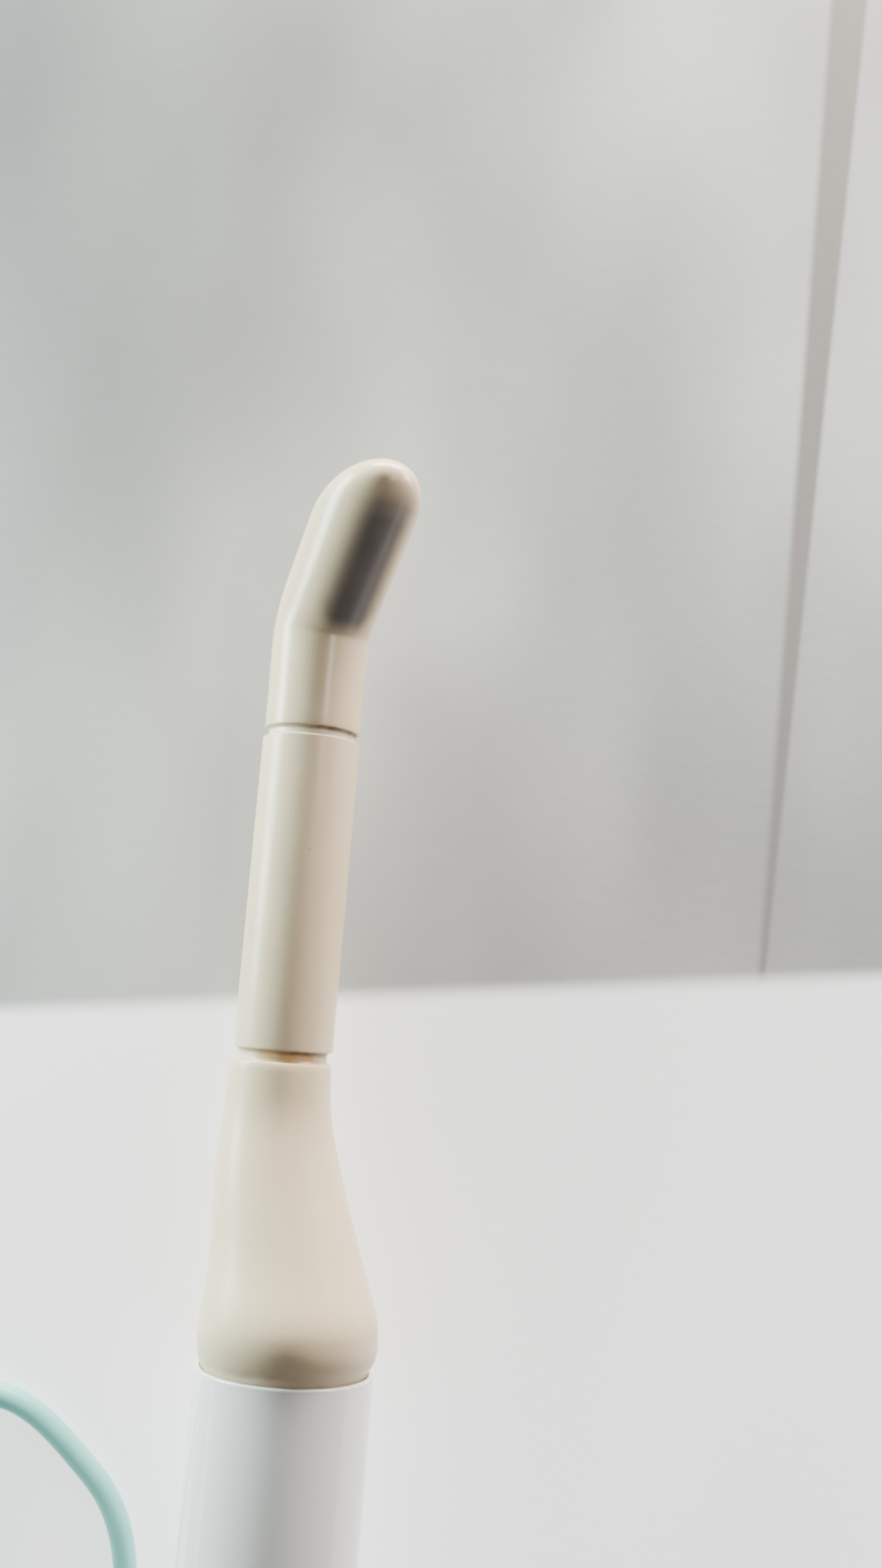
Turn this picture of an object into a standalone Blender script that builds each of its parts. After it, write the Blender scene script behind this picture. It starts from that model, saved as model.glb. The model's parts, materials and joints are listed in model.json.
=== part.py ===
"""Angled-tip endocavity ultrasound probe with its cable and multi-pin connector.

Run with:  blender --background --python part.py

Metres, +Z up. The probe lies on the plane z = 0 with its handle's axis along Y and its tip
towards +Y. Its box, without the cable and the connector, is centred on x = 0 and y = 0.
The tip bends up and to the right, away from the plane. The cable leaves the handle's rear end,
comes back along its left side, is wound into a coil and ends in the connector beside it.
"""

import math

import bmesh
import bpy
from mathutils import Matrix, Vector

MM = 0.001
GAP = 0.0003              # clearance between touching pieces
ROUND = 28                # sides of a large round piece
FINE = 16                 # sides of a small round piece

# Driving dimensions of the probe
HANDLE_RADIUS = 0.0190
HANDLE_WALL = 0.0024
HANDLE_LENGTH = 0.112     # from the neck seam back to the end cap
END_CAP_LENGTH = 0.009
SHAFT_RADIUS = 0.0110
CORE_RADIUS = 0.0098      # inner tube that shows in the two grooves
CORE_BORE = 0.0076
SHAFT_SIDE = -0.0068      # shaft axis from the handle axis, along X
SHAFT_DROP = -0.0050      # shaft axis from the handle axis, along Z

# Stations along the probe, measured from the neck seam towards the tip
NECK_TOP = 0.0628
SLEEVE_START = 0.0653
SLEEVE_END = 0.1349
TIP_START = 0.1370
CORE_START = 0.0506
CORE_END = 0.1491

# The bent tip, measured from its rim
TIP_RADIUS = 0.0108
HEAD_RADIUS = 0.0112
TIP_CORNER = 0.0251       # where the straight and the bent axes cross
TIP_BEND = math.radians(40.8)
BEND_TURN = math.radians(27.6)   # the bend's plane, from +Z towards +X
HEAD_LENGTH = 0.0284      # from the corner to where the rounded end begins
HEAD_END = 0.0136         # length of the rounded end
TIP_WALL = 0.0015
CREASE_RADIUS = 0.0015    # fillet at the inside of the bend
OUTER_RADIUS = 0.0377     # fillet at the outside of the bend
BEND_FROM = 0.0065        # height above the rim where the bend's stretch begins
BEND_TO = 0.0245          # distance after the corner where it ends

# Cable
CABLE_RADIUS = 0.0026
COIL_CENTRE = Vector((-0.103, -0.082, 0))
COIL_RADIUS = 0.0286      # at the middle of its turns
COIL_THICK = 0.0159
COIL_LIFT = 0.0015

# Connector
PLUG_CENTRE = Vector((-0.109, -0.184, 0))
PLUG_WIDTH = 0.060
PLUG_LENGTH = 0.080
PLUG_WALL = 0.0022
SHELL_TOP = 0.0080
CASE_BOTTOM = 0.0096
CASE_SPLIT = 0.01615
CASE_TOP = 0.0340
ENTRY_SIDE = -0.0206      # cable entry from the connector's middle, along X
SHAFT_HOLE = 0.0060

PROBE_X = 0.0007
FRONT_REACH = TIP_START + TIP_CORNER + HEAD_LENGTH * math.cos(TIP_BEND) + math.hypot(
    HEAD_END * math.cos(TIP_BEND), HEAD_RADIUS * math.sin(TIP_BEND))
REAR_REACH = HANDLE_LENGTH + END_CAP_LENGTH
SEAM_Y = (REAR_REACH - FRONT_REACH) / 2

# The cable's route, from inside the handle to the coil, in world metres
RUN_ROUTE = [
    (0.0007, -0.1320, 0.0190), (0.0007, -0.1640, 0.0190), (0.0007, -0.1960, 0.0190),
    (0.0002, -0.2050, 0.0180), (-0.0040, -0.2170, 0.0138), (-0.0140, -0.2255, 0.0090),
    (-0.0275, -0.2275, 0.0052), (-0.0395, -0.2220, 0.0032), (-0.0472, -0.2110, 0.0029),
    (-0.0492, -0.1960, 0.0029), (-0.0460, -0.1740, 0.0029), (-0.0405, -0.1500, 0.0029),
    (-0.0350, -0.1270, 0.0029), (-0.0312, -0.1070, 0.0029), (-0.0305, -0.0905, 0.0029),
    (-0.0326, -0.0790, 0.0029), (-0.0370, -0.0706, 0.0029), (-0.0430, -0.0646, 0.0029),
    (-0.0486, -0.0594, 0.0029), (-0.0536, -0.0556, 0.0029), (-0.0582, -0.0531, 0.0029),
    (-0.0630, -0.0519, 0.0029), (-0.0710, -0.0509, 0.0032), (-0.0810, -0.0499, 0.0040),
]

# From the coil into the connector
LEAD_ROUTE = [
    (-0.1307, -0.1105, 0.0158), (-0.1298, -0.1145, 0.0161), (-0.1296, -0.1180, 0.01615),
    (-0.1296, -0.1300, 0.01615), (-0.1296, -0.1430, 0.01615), (-0.1296, -0.1560, 0.01615),
]


def clear_scene():
    for old in list(bpy.data.objects):
        bpy.data.objects.remove(old, do_unlink=True)


clear_scene()
PARTS = bpy.data.collections.new("endocavity_probe")
CUTTERS = bpy.data.collections.new("cutters")
bpy.context.scene.collection.children.link(PARTS)
bpy.context.scene.collection.children.link(CUTTERS)


# ---------------------------------------------------------------- materials

def material(name, colour, roughness, metallic=0.0):
    made = bpy.data.materials.new(name)
    made.use_nodes = True
    shader = made.node_tree.nodes["Principled BSDF"]
    shader.inputs["Base Color"].default_value = (*colour, 1)
    shader.inputs["Roughness"].default_value = roughness
    shader.inputs["Metallic"].default_value = metallic
    made.diffuse_color = (*colour, 1)
    return made


BEIGE = material("beige_plastic", (0.73, 0.69, 0.60), 0.35)
IVORY = material("ivory_plastic", (0.78, 0.70, 0.52), 0.40)
WHITE = material("white_plastic", (0.84, 0.86, 0.86), 0.15)
DARK = material("dark_lens", (0.08, 0.07, 0.07), 0.45)
MATCHING = material("matching_epoxy", (0.30, 0.32, 0.34), 0.50)
PIEZO = material("piezo_ceramic", (0.55, 0.50, 0.38), 0.60)
BACKING = material("backing_epoxy", (0.12, 0.12, 0.13), 0.70)
COPPER = material("polyimide_copper", (0.62, 0.34, 0.10), 0.35)
BOARD = material("circuit_board", (0.05, 0.22, 0.10), 0.45)
SOCKET = material("black_socket", (0.03, 0.03, 0.03), 0.50)
STEEL = material("stainless_steel", (0.62, 0.62, 0.63), 0.30, 1.0)
ALUMINIUM = material("aluminium_sheet", (0.70, 0.71, 0.72), 0.35, 1.0)
BRASS = material("nickel_brass", (0.72, 0.66, 0.50), 0.30, 1.0)
SEAL = material("seal_rubber", (0.30, 0.26, 0.20), 0.70)
MINT = material("mint_cable", (0.36, 0.60, 0.53), 0.40)
GREY = material("grey_boot", (0.45, 0.47, 0.47), 0.60)
CASE = material("case_plastic", (0.66, 0.67, 0.65), 0.45)
TIE = material("tie_fabric", (0.02, 0.02, 0.025), 0.90)


# ---------------------------------------------------------------- helpers

def place(mesh_or_curve, name, look, parent=None, at=(0, 0, 0), turn=(0, 0, 0), cutter=False):
    made = bpy.data.objects.new(name, mesh_or_curve)
    (CUTTERS if cutter else PARTS).objects.link(made)
    if cutter:
        made.hide_render = True
        made.display_type = "WIRE"
    else:
        mesh_or_curve.materials.append(look)
    made.parent = parent
    made.location = at
    made.rotation_euler = turn
    return made


def empty(name, parent=None, matrix=Matrix()):
    made = bpy.data.objects.new(name, None)
    PARTS.objects.link(made)
    made.parent = parent
    made.matrix_basis = matrix
    return made


def mesh_of(bm, name, smooth=True):
    bmesh.ops.recalc_face_normals(bm, faces=bm.faces)
    mesh = bpy.data.meshes.new(name)
    bm.to_mesh(mesh)
    bm.free()
    if smooth:
        mesh.shade_smooth()
        mesh.set_sharp_from_angle(angle=math.radians(35))
    return mesh


def bevel(made, width, segments=2):
    rounding = made.modifiers.new("edge", "BEVEL")
    rounding.width = width
    rounding.segments = segments
    rounding.limit_method = "ANGLE"
    rounding.angle_limit = math.radians(50)
    return made


def block(name, size, centre, look=None, parent=None, corner=0.0, edge=0.0, cutter=False,
          along="Z"):
    """A box with its edges along one axis rounded to corner and the rest to edge."""
    bm = bmesh.new()
    bmesh.ops.create_cube(bm, size=1.0)
    bmesh.ops.scale(bm, vec=size, verts=bm.verts)
    if corner:
        axis = "XYZ".index(along)
        upright = [e for e in bm.edges
                   if abs((e.verts[0].co - e.verts[1].co).normalized()[axis]) > 0.9]
        bmesh.ops.bevel(bm, geom=upright, offset=corner, segments=3, affect="EDGES",
                        profile=0.5)
    made = place(mesh_of(bm, name), name, look, parent, centre, cutter=cutter)
    return bevel(made, edge) if edge else made


def rod(name, radius, length, centre, axis, look=None, parent=None, sides=FINE, edge=0.0,
        cutter=False):
    """A round bar centred on a point, along X, Y or Z."""
    bm = bmesh.new()
    bmesh.ops.create_cone(bm, cap_ends=True, segments=sides, radius1=radius, radius2=radius,
                          depth=length)
    turn = {"X": (0, math.pi / 2, 0), "Y": (math.pi / 2, 0, 0), "Z": (0, 0, 0)}[axis]
    made = place(mesh_of(bm, name), name, look, parent, centre, turn, cutter)
    return bevel(made, edge) if edge else made


def turned(name, profile, look, parent=None, at=(0, 0, 0), turn=(0, 0, 0), sides=ROUND,
           closed=False):
    """A profile of (radius, height) points, outer side first from the top, turned about Z."""
    bm = bmesh.new()
    points = [bm.verts.new((radius, 0, height)) for radius, height in profile]
    for start, end in zip(points, points[1:]):
        bm.edges.new((start, end))
    if closed:
        bm.edges.new((points[-1], points[0]))
    mesh = bpy.data.meshes.new(name)
    bm.to_mesh(mesh)
    bm.free()
    made = place(mesh, name, look, parent, at, turn)
    screw = made.modifiers.new("turn", "SCREW")
    screw.axis = "Z"
    screw.angle = 2 * math.pi
    screw.steps = sides
    screw.render_steps = sides
    screw.use_merge_vertices = True
    screw.merge_threshold = 0.00001
    screw.use_smooth_shade = True
    return made


ALONG_Y = (-math.pi / 2, 0, 0)        # turns a local +Z axis to +Y


def arc(centre, radius, start, end, steps):
    """Points of a profile arc about (radius, height) centre, angles in degrees from +radius."""
    angles = [math.radians(start + (end - start) * i / steps) for i in range(steps + 1)]
    return [(centre[0] + radius * math.cos(a), centre[1] + radius * math.sin(a))
            for a in angles]


def ring_profile(outer, inner, top, bottom, edge=0.0):
    """A plain hollow cylinder's closed profile, with its outer corners rounded."""
    if not edge:
        return [(outer, top), (outer, bottom), (inner, bottom), (inner, top)]
    upper = arc((outer - edge, top - edge), edge, 90, 0, 2)
    lower = arc((outer - edge, bottom + edge), edge, 0, -90, 2)
    return upper + lower + [(inner, bottom), (inner, top)]


def loft(name, rings, look, parent, pole=None, closed=False):
    """Joins rings of points in order. A pole closes the last ring, else closed joins it to the
    first, and otherwise both ends are capped."""
    bm = bmesh.new()
    rows = [[bm.verts.new(p) for p in ring] for ring in rings]
    count = len(rows[0])
    pairs = list(zip(rows, rows[1:])) + ([(rows[-1], rows[0])] if closed else [])
    for low, high in pairs:
        for i in range(count):
            k = (i + 1) % count
            bm.faces.new((low[i], low[k], high[k], high[i]))
    if pole is not None:
        tip = bm.verts.new(pole)
        for i in range(count):
            bm.faces.new((rows[-1][i], rows[-1][(i + 1) % count], tip))
    elif not closed:
        bm.faces.new(rows[-1])
    if not closed:
        bm.faces.new(rows[0])
    return place(mesh_of(bm, name), name, look, parent)


def tube(name, points, radius, look, parent=None, resolution=2):
    curve = bpy.data.curves.new(name, "CURVE")
    curve.dimensions = "3D"
    line = curve.splines.new("POLY")
    line.points.add(len(points) - 1)
    for spot, point in zip(line.points, points):
        spot.co = (*point, 1)
    curve.bevel_depth = radius
    curve.bevel_resolution = resolution
    curve.use_fill_caps = True
    return place(curve, name, look, parent)


def smooth_route(route, step):
    """Points about a step apart on a smooth curve through a route's own points."""
    knots = [Vector(p) for p in route]
    knots = [2 * knots[0] - knots[1], *knots, 2 * knots[-1] - knots[-2]]
    points = []
    for a, b, c, d in zip(knots, knots[1:], knots[2:], knots[3:]):
        count = max(1, round((c - b).length / step))
        for i in range(count):
            t = i / count
            points.append(0.5 * (2 * b + (c - a) * t + (2 * a - 5 * b + 4 * c - d) * t ** 2
                                 + (3 * b - 3 * c + d - a) * t ** 3))
    return [*points, knots[-2]]


def combine(made, tool, operation):
    """Cuts a tool away from an object, or joins the tool to it."""
    change = made.modifiers.new(operation.lower(), "BOOLEAN")
    change.operation = operation
    change.solver = "EXACT"
    change.object = tool
    return made


def cut(made, *tools):
    for tool in tools:
        combine(made, tool, "DIFFERENCE")
    return made


# ---------------------------------------------------------------- the axes of the probe

probe_axis = empty("probe_axis", matrix=Matrix.Translation((PROBE_X, SEAM_Y, HANDLE_RADIUS)))
shaft_axis = empty("shaft_axis", probe_axis, Matrix.Translation((SHAFT_SIDE, 0, SHAFT_DROP)))

# Unit vectors of the bend's plane in the shaft's frame
TOWARDS = Vector((math.sin(BEND_TURN), 0, math.cos(BEND_TURN)))     # the side it bends to
ACROSS = Vector((math.cos(BEND_TURN), 0, -math.sin(BEND_TURN)))     # out of the plane
FORWARD = Vector((0, 1, 0))
HALF_TAN = math.tan(TIP_BEND / 2)
HEAD_AXIS = FORWARD * math.cos(TIP_BEND) + TOWARDS * math.sin(TIP_BEND)
HEAD_FACE = TOWARDS * math.cos(TIP_BEND) - FORWARD * math.sin(TIP_BEND)
CORNER = FORWARD * (TIP_START + TIP_CORNER)

# The head's frame: +X across, +Y along the head, +Z out of its inner side
head_axis = empty("head_axis", shaft_axis, Matrix.Translation(CORNER)
                  @ Matrix((ACROSS, HEAD_AXIS, HEAD_FACE)).transposed().to_4x4())


# ---------------------------------------------------------------- tip

def bent_point(radius, around, before=None, after=None, share=None):
    """A point of the bent tube's surface, in the shaft's frame.

    Each line along the surface runs straight, turns through a fillet and runs straight again.
    The fillet is tight at the inside of the bend and wide at the outside. The place along the
    line is the distance before the corner as a height above the rim, the distance after it
    along the head, or a share (-1 to 1) of the way through the bend.
    """
    side = radius * math.cos(around)
    away = ((1 - math.cos(around)) / 2) ** 1.3
    fillet = CREASE_RADIUS + (OUTER_RADIUS - CREASE_RADIUS) * away
    reach = fillet * HALF_TAN
    corner = TIP_CORNER - side * HALF_TAN
    if before is not None:
        place_on = before - corner
    elif after is not None:
        place_on = after + side * HALF_TAN
    elif share < 0:
        place_on = -share * (BEND_FROM - corner)
    else:
        place_on = share * (BEND_TO + side * HALF_TAN)
    if place_on <= -reach:
        flat = Vector((corner + place_on, side))
    elif place_on >= reach:
        flat = Vector((corner, side)) + place_on * Vector((math.cos(TIP_BEND),
                                                           math.sin(TIP_BEND)))
    else:
        angle = TIP_BEND * (place_on + reach) / (2 * reach)
        flat = Vector((corner - reach + fillet * math.sin(angle),
                       side + fillet * (1 - math.cos(angle))))
    return (FORWARD * (TIP_START + flat.x) + TOWARDS * flat.y
            + ACROSS * radius * math.sin(around))


def bent_ring(radius, sides=ROUND, **where):
    return [bent_point(radius, 2 * math.pi * i / sides, **where) for i in range(sides)]


def bent_skin(straight, head, end_radius, end_length, shares):
    """Rings through the bend and round the end, without the last pole."""
    rings = []
    for share in shares:
        radius = straight + (head - straight) * (share + 1) / 2
        rings.append(bent_ring(radius, share=share))
    for i in range(7):
        angle = math.pi / 2 * i / 7
        rings.append(bent_ring(end_radius * math.cos(angle),
                               after=HEAD_LENGTH + end_length * math.sin(angle)))
    return rings


def bend_shares(count):
    """Shares of the way through the bend, closest together at the corner."""
    spread = [(i / count) ** 1.6 for i in range(1, count + 1)]
    return [-s for s in reversed(spread)] + [0.0] + spread


def make_tip():
    rim = 0.0005
    outer = [bent_ring(TIP_RADIUS - rim, before=0.0), bent_ring(TIP_RADIUS, before=rim)]
    outer += bent_skin(TIP_RADIUS, HEAD_RADIUS, HEAD_RADIUS, HEAD_END, bend_shares(7))
    seat = CORE_RADIUS + GAP
    cavity = HEAD_RADIUS - TIP_WALL
    ledge = CORE_END - TIP_START + GAP
    inner = bent_skin(cavity - 0.0006, cavity, cavity, HEAD_END - TIP_WALL, bend_shares(3))
    inner = [bent_ring(seat, before=0.0), bent_ring(seat, before=ledge),
             bent_ring(cavity - 0.0008, before=ledge)] + inner
    bm = bmesh.new()
    outer_rows = [[bm.verts.new(p) for p in ring] for ring in outer]
    inner_rows = [[bm.verts.new(p) for p in ring] for ring in inner]
    for rows, depth in ((outer_rows, 0.0), (inner_rows, TIP_WALL)):
        for low, high in zip(rows, rows[1:]):
            for i in range(ROUND):
                k = (i + 1) % ROUND
                bm.faces.new((low[i], low[k], high[k], high[i]))
        pole = bm.verts.new(CORNER + HEAD_AXIS * (HEAD_LENGTH + HEAD_END - depth))
        for i in range(ROUND):
            bm.faces.new((rows[-1][i], rows[-1][(i + 1) % ROUND], pole))
    for i in range(ROUND):
        k = (i + 1) % ROUND
        bm.faces.new((outer_rows[0][i], outer_rows[0][k], inner_rows[0][k], inner_rows[0][i]))
    place(mesh_of(bm, "tip_shell"), "tip_shell", BEIGE, shaft_axis)


STACK_START = 0.0005
STACK_LENGTH = 0.0280
STACK_WIDTH = 0.0088


def make_transducer():
    """The layers under the window, from the window inwards."""
    middle = STACK_START + STACK_LENGTH / 2
    half = STACK_WIDTH / 2
    crown = HEAD_RADIUS - TIP_WALL - GAP
    edge = math.asin(half / crown)
    top = [(crown * math.sin(a), crown * math.cos(a))
           for a in [edge * (1 - i / 3) for i in range(7)]]
    section = [(-half, 0.0079), (half, 0.0079), *top]
    ends = (STACK_START, STACK_START + STACK_LENGTH)
    loft("acoustic_lens", [[(x, y, z) for x, z in section] for y in ends], DARK, head_axis)
    block("matching_layer", (STACK_WIDTH, STACK_LENGTH, 0.0005), (0, middle, 0.00735),
          MATCHING, head_axis)
    block("piezo_array", (STACK_WIDTH, STACK_LENGTH, 0.0008), (0, middle, 0.0064),
          PIEZO, head_axis)
    block("backing_block", (STACK_WIDTH, STACK_LENGTH, 0.0072), (0, middle, 0.0021),
          BACKING, head_axis, edge=0.0003)
    trough = [(-0.0059, 0.0055), (-0.0059, -0.0033), (0.0059, -0.0033), (0.0059, 0.0055),
              (0.0048, 0.0055), (0.0048, -0.0021), (-0.0048, -0.0021), (-0.0048, 0.0055)]
    loft("array_frame", [[(x, y, z) for x, z in trough] for y in ends], ALUMINIUM, head_axis)


def strip(name, path, width, thickness, look):
    """A flat ribbon along (height above the rim, offset towards the bend) points."""
    spots = [Vector(p) for p in path]
    rings = []
    for i, spot in enumerate(spots):
        way = (spots[min(i + 1, len(spots) - 1)] - spots[max(i - 1, 0)]).normalized()
        normal = Vector((-way.y, way.x))
        ring = []
        for across, up in ((-1, -1), (1, -1), (1, 1), (-1, 1)):
            flat = spot + normal * up * thickness / 2
            ring.append(FORWARD * (TIP_START + flat.x) + TOWARDS * flat.y
                        + ACROSS * across * width / 2)
        rings.append(ring)
    loft(name, rings, look, shaft_axis)


def make_wiring():
    strip("flex_ribbon_upper", [(0.0036, -0.0008), (0.0100, -0.0008), (0.0160, -0.0010),
                                (0.0210, -0.0002), (0.0244, 0.0014)], 0.0070, 0.0003, COPPER)
    strip("flex_ribbon_lower", [(0.0036, -0.0032), (0.0100, -0.0032), (0.0165, -0.0034),
                                (0.0220, -0.0030), (0.0254, -0.0012)], 0.0070, 0.0003, COPPER)
    block("splice_board", (0.0110, 0.0150, 0.0012), (0, TIP_START - 0.0045, -0.0018), BOARD,
          shaft_axis)
    bundle = [(SHAFT_SIDE, 0.1240, SHAFT_DROP), (SHAFT_SIDE, 0.1000, SHAFT_DROP),
              (SHAFT_SIDE, 0.0700, SHAFT_DROP), (-0.0062, 0.0500, -0.0040),
              (-0.0035, 0.0320, 0.0005), (-0.0010, 0.0180, 0.0035), (0.0, 0.0080, 0.0045)]
    tube("shaft_coax_bundle", smooth_route(bundle, 0.006), 0.0028, SOCKET, probe_axis)


# ---------------------------------------------------------------- shaft

def make_shaft():
    gland = 0.0012            # depth of a seal ring's groove in the inner tube
    half = 0.0008
    upper, lower = SLEEVE_END - 0.0045, SLEEVE_START + 0.0045
    profile = [(CORE_RADIUS, CORE_END)]
    for place_on in (upper, lower):
        profile += [(CORE_RADIUS, place_on + half), (CORE_RADIUS - gland, place_on + half),
                    (CORE_RADIUS - gland, place_on - half), (CORE_RADIUS, place_on - half)]
    profile += [(CORE_RADIUS, CORE_START), (CORE_BORE, CORE_START), (CORE_BORE, CORE_END)]
    turned("core_tube", profile, IVORY, shaft_axis, turn=ALONG_Y, closed=True)
    for name, place_on in (("upper_seal_ring", upper), ("lower_seal_ring", lower)):
        section = arc((CORE_RADIUS - 0.00045, place_on), 0.00045, 90, -270, 6)[:-1]
        turned(name, section, SEAL, shaft_axis, turn=ALONG_Y, sides=24, closed=True)
    turned("shaft_sleeve", ring_profile(SHAFT_RADIUS, CORE_RADIUS + GAP, SLEEVE_END,
                                        SLEEVE_START, edge=0.0004),
           BEIGE, shaft_axis, turn=ALONG_Y, closed=True)


# ---------------------------------------------------------------- neck

# (height above the seam, radius, centre along X, centre along Z), from the shaft's axis
NECK_OUTER = [(0.0628, 0.0109, -0.0004, 0.0), (0.0623, 0.0113, -0.0004, 0.0),
              (0.0510, 0.0120, 0.0001, 0.0002), (0.0390, 0.0139, 0.0016, 0.0014),
              (0.0230, 0.0162, 0.0049, 0.0042), (0.0120, 0.0185, 0.0068, 0.0060),
              (0.0070, 0.0191, 0.0070, 0.0061), (0.0035, 0.0190, 0.0071, 0.0057),
              (0.0013, 0.0185, 0.0069, 0.0052), (0.0003, 0.0179, 0.0068, 0.0050)]
NECK_INNER = [(0.0628, 0.0101, 0.0, 0.0), (0.0503, 0.0101, 0.0, 0.0),
              (0.0480, 0.0104, 0.0002, 0.0002), (0.0390, 0.0116, 0.0016, 0.0014),
              (0.0230, 0.0140, 0.0048, 0.0042), (0.0120, 0.0162, 0.0068, 0.0058),
              (0.0003, 0.0162, 0.0068, 0.0050)]


def smooth_stations(stations, steps):
    """The stations again with points between them on a smooth curve."""
    knots = [Vector(s) for s in stations]
    knots = [2 * knots[0] - knots[1], *knots, 2 * knots[-1] - knots[-2]]
    made = []
    for a, b, c, d in zip(knots, knots[1:], knots[2:], knots[3:]):
        for i in range(steps):
            t = i / steps
            made.append(0.5 * (2 * b + (c - a) * t + (2 * a - 5 * b + 4 * c - d) * t ** 2
                               + (3 * b - 3 * c + d - a) * t ** 3))
    return [*made, knots[-2]]


def section_ring(station):
    height, radius, side, rise = station
    return [(side + radius * math.cos(2 * math.pi * i / ROUND), height,
             rise + radius * math.sin(2 * math.pi * i / ROUND)) for i in range(ROUND)]


def make_neck():
    flare = smooth_stations(NECK_OUTER[1:], 2)
    rings = [section_ring(NECK_OUTER[0])] + [section_ring(s) for s in flare]
    rings += [section_ring(s) for s in reversed(NECK_INNER)]
    loft("neck_shell", rings, BEIGE, shaft_axis, closed=True)
    turned("neck_gasket", ring_profile(0.0176, 0.0170, 0.0, -0.0014), SEAL, probe_axis,
           turn=ALONG_Y, closed=True)


# ---------------------------------------------------------------- handle

def make_handle():
    top, bottom = -0.0005, -HANDLE_LENGTH
    bore = HANDLE_RADIUS - HANDLE_WALL
    lip = 0.0018
    seat = 0.0179
    profile = arc((HANDLE_RADIUS - lip, top - lip), lip, 80, 0, 3)
    profile += arc((HANDLE_RADIUS - 0.0008, bottom + 0.0008), 0.0008, 0, -90, 2)
    profile += [(bore, bottom), (bore, top - 0.0012), (seat, top - 0.0012), (seat, top)]
    turned("handle_shell", profile, WHITE, probe_axis, turn=ALONG_Y, sides=40, closed=True)
    end = -REAR_REACH
    face = bottom - GAP
    spigot = bore - GAP
    hole = 0.0052
    profile = [(spigot, bottom + 0.006), (spigot, face)]
    profile += arc((HANDLE_RADIUS - 0.0072, end + 0.0072), 0.0072, 0, -90, 5)
    profile.insert(2, (HANDLE_RADIUS, face))
    profile += [(hole, end), (hole, end + 0.003), (spigot - 0.002, end + 0.003),
                (spigot - 0.002, bottom + 0.006)]
    turned("handle_end_cap", profile, WHITE, probe_axis, turn=ALONG_Y, sides=ROUND, closed=True)


BOARD_TOP = (-0.0016, 0.0)              # the upper board's faces, from the handle's axis
CHASSIS_Z = (-0.0070, -0.0055)
STUD_PLACES = [(-0.0105, -0.012), (0.0105, -0.012), (-0.0105, -0.074), (0.0105, -0.074)]


def span(low_high):
    """The middle and the size of a (low, high) pair."""
    low, high = low_high
    return (low + high) / 2, high - low


def make_chassis():
    middle, thick = span(CHASSIS_Z)
    chassis = block("chassis", (0.026, 0.104, thick), (0, -0.052, middle), ALUMINIUM,
                    probe_axis, corner=0.002)
    for i, (x, y) in enumerate(STUD_PLACES):
        stud_middle, height = span((middle, BOARD_TOP[0] - GAP))
        stud = rod(f"stud_{i}", 0.0023, height, (x, y, stud_middle), "Z",
                   parent=probe_axis, sides=16, cutter=True)
        combine(chassis, stud, "UNION")
        pilot = rod(f"stud_hole_{i}", 0.0013, 0.02, (x, y, 0.0042), "Z", parent=probe_axis,
                    sides=12, cutter=True)
        cut(chassis, pilot)
    middle, thick = span(BOARD_TOP)
    board = block("interconnect_board_upper", (0.0276, 0.088, thick), (0, -0.040, middle),
                  BOARD, probe_axis, corner=0.0015)
    for i, (x, y) in enumerate(STUD_PLACES):
        cut(board, bpy.data.objects[f"stud_hole_{i}"])
        shank, head = 0.0052, 0.0011
        turned(f"board_screw_{i + 1}",
               [(0, head + GAP), (0.0019, head + GAP), (0.0019, GAP), (0.0010, GAP),
                (0.0010, -shank), (0, -shank)],
               STEEL, probe_axis, at=(x, y, 0), sides=12)
    block("interconnect_board_lower", (0.0180, 0.080, 0.0016), (0, -0.040, -0.0108), BOARD,
          probe_axis, corner=0.0015)
    block("board_socket_front", (0.0160, 0.0060, 0.0040), (0, -0.0060, GAP + 0.0020), SOCKET,
          probe_axis, edge=0.0003)
    block("board_socket_rear", (0.0160, 0.0060, 0.0040), (0, -0.0740, GAP + 0.0020), SOCKET,
          probe_axis, edge=0.0003)
    block("board_link", (0.0120, 0.0050, 0.0024), (0, -0.0300, -0.00855), SOCKET, probe_axis,
          edge=0.0003)


CLAMP_Y = -0.0960
FERRULE = (0.0042, 0.0100)              # outer radius and length of the crimp ferrule


def make_cable_anchor():
    bore = rod("clamp_bore", FERRULE[0] + GAP, 0.03, (0, CLAMP_Y, 0), "Y", parent=probe_axis,
               cutter=True)
    screw_side = 0.0068
    for name, low, high in (("cable_clamp_base", CHASSIS_Z[1] + GAP, -GAP / 2),
                            ("cable_clamp_cap", GAP / 2, 0.0056)):
        middle, height = span((low, high))
        piece = block(name, (0.0190, 0.0080, height), (0, CLAMP_Y, middle), ALUMINIUM,
                      probe_axis, edge=0.0003)
        cut(piece, bore)
        for i, side in enumerate((-screw_side, screw_side)):
            hole = rod(f"{name}_hole_{i}", 0.0012, 0.0170, (side, CLAMP_Y, 0.0040), "Z",
                       parent=probe_axis, sides=12, cutter=True)
            cut(piece, hole)
    for i, side in enumerate((-screw_side, screw_side)):
        top = 0.0056 + GAP
        turned(f"clamp_screw_{i + 1}",
               [(0, top + 0.0010), (0.0017, top + 0.0010), (0.0017, top), (0.0009, top),
                (0.0009, -0.0036), (0, -0.0036)],
               STEEL, probe_axis, at=(side, CLAMP_Y, 0), sides=12)
    radius, length = FERRULE
    turned("crimp_ferrule", ring_profile(radius, CABLE_RADIUS + GAP, length / 2, -length / 2,
                                         edge=0.0004),
           BRASS, probe_axis, at=(0, CLAMP_Y, 0), turn=ALONG_Y, sides=FINE, closed=True)


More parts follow.
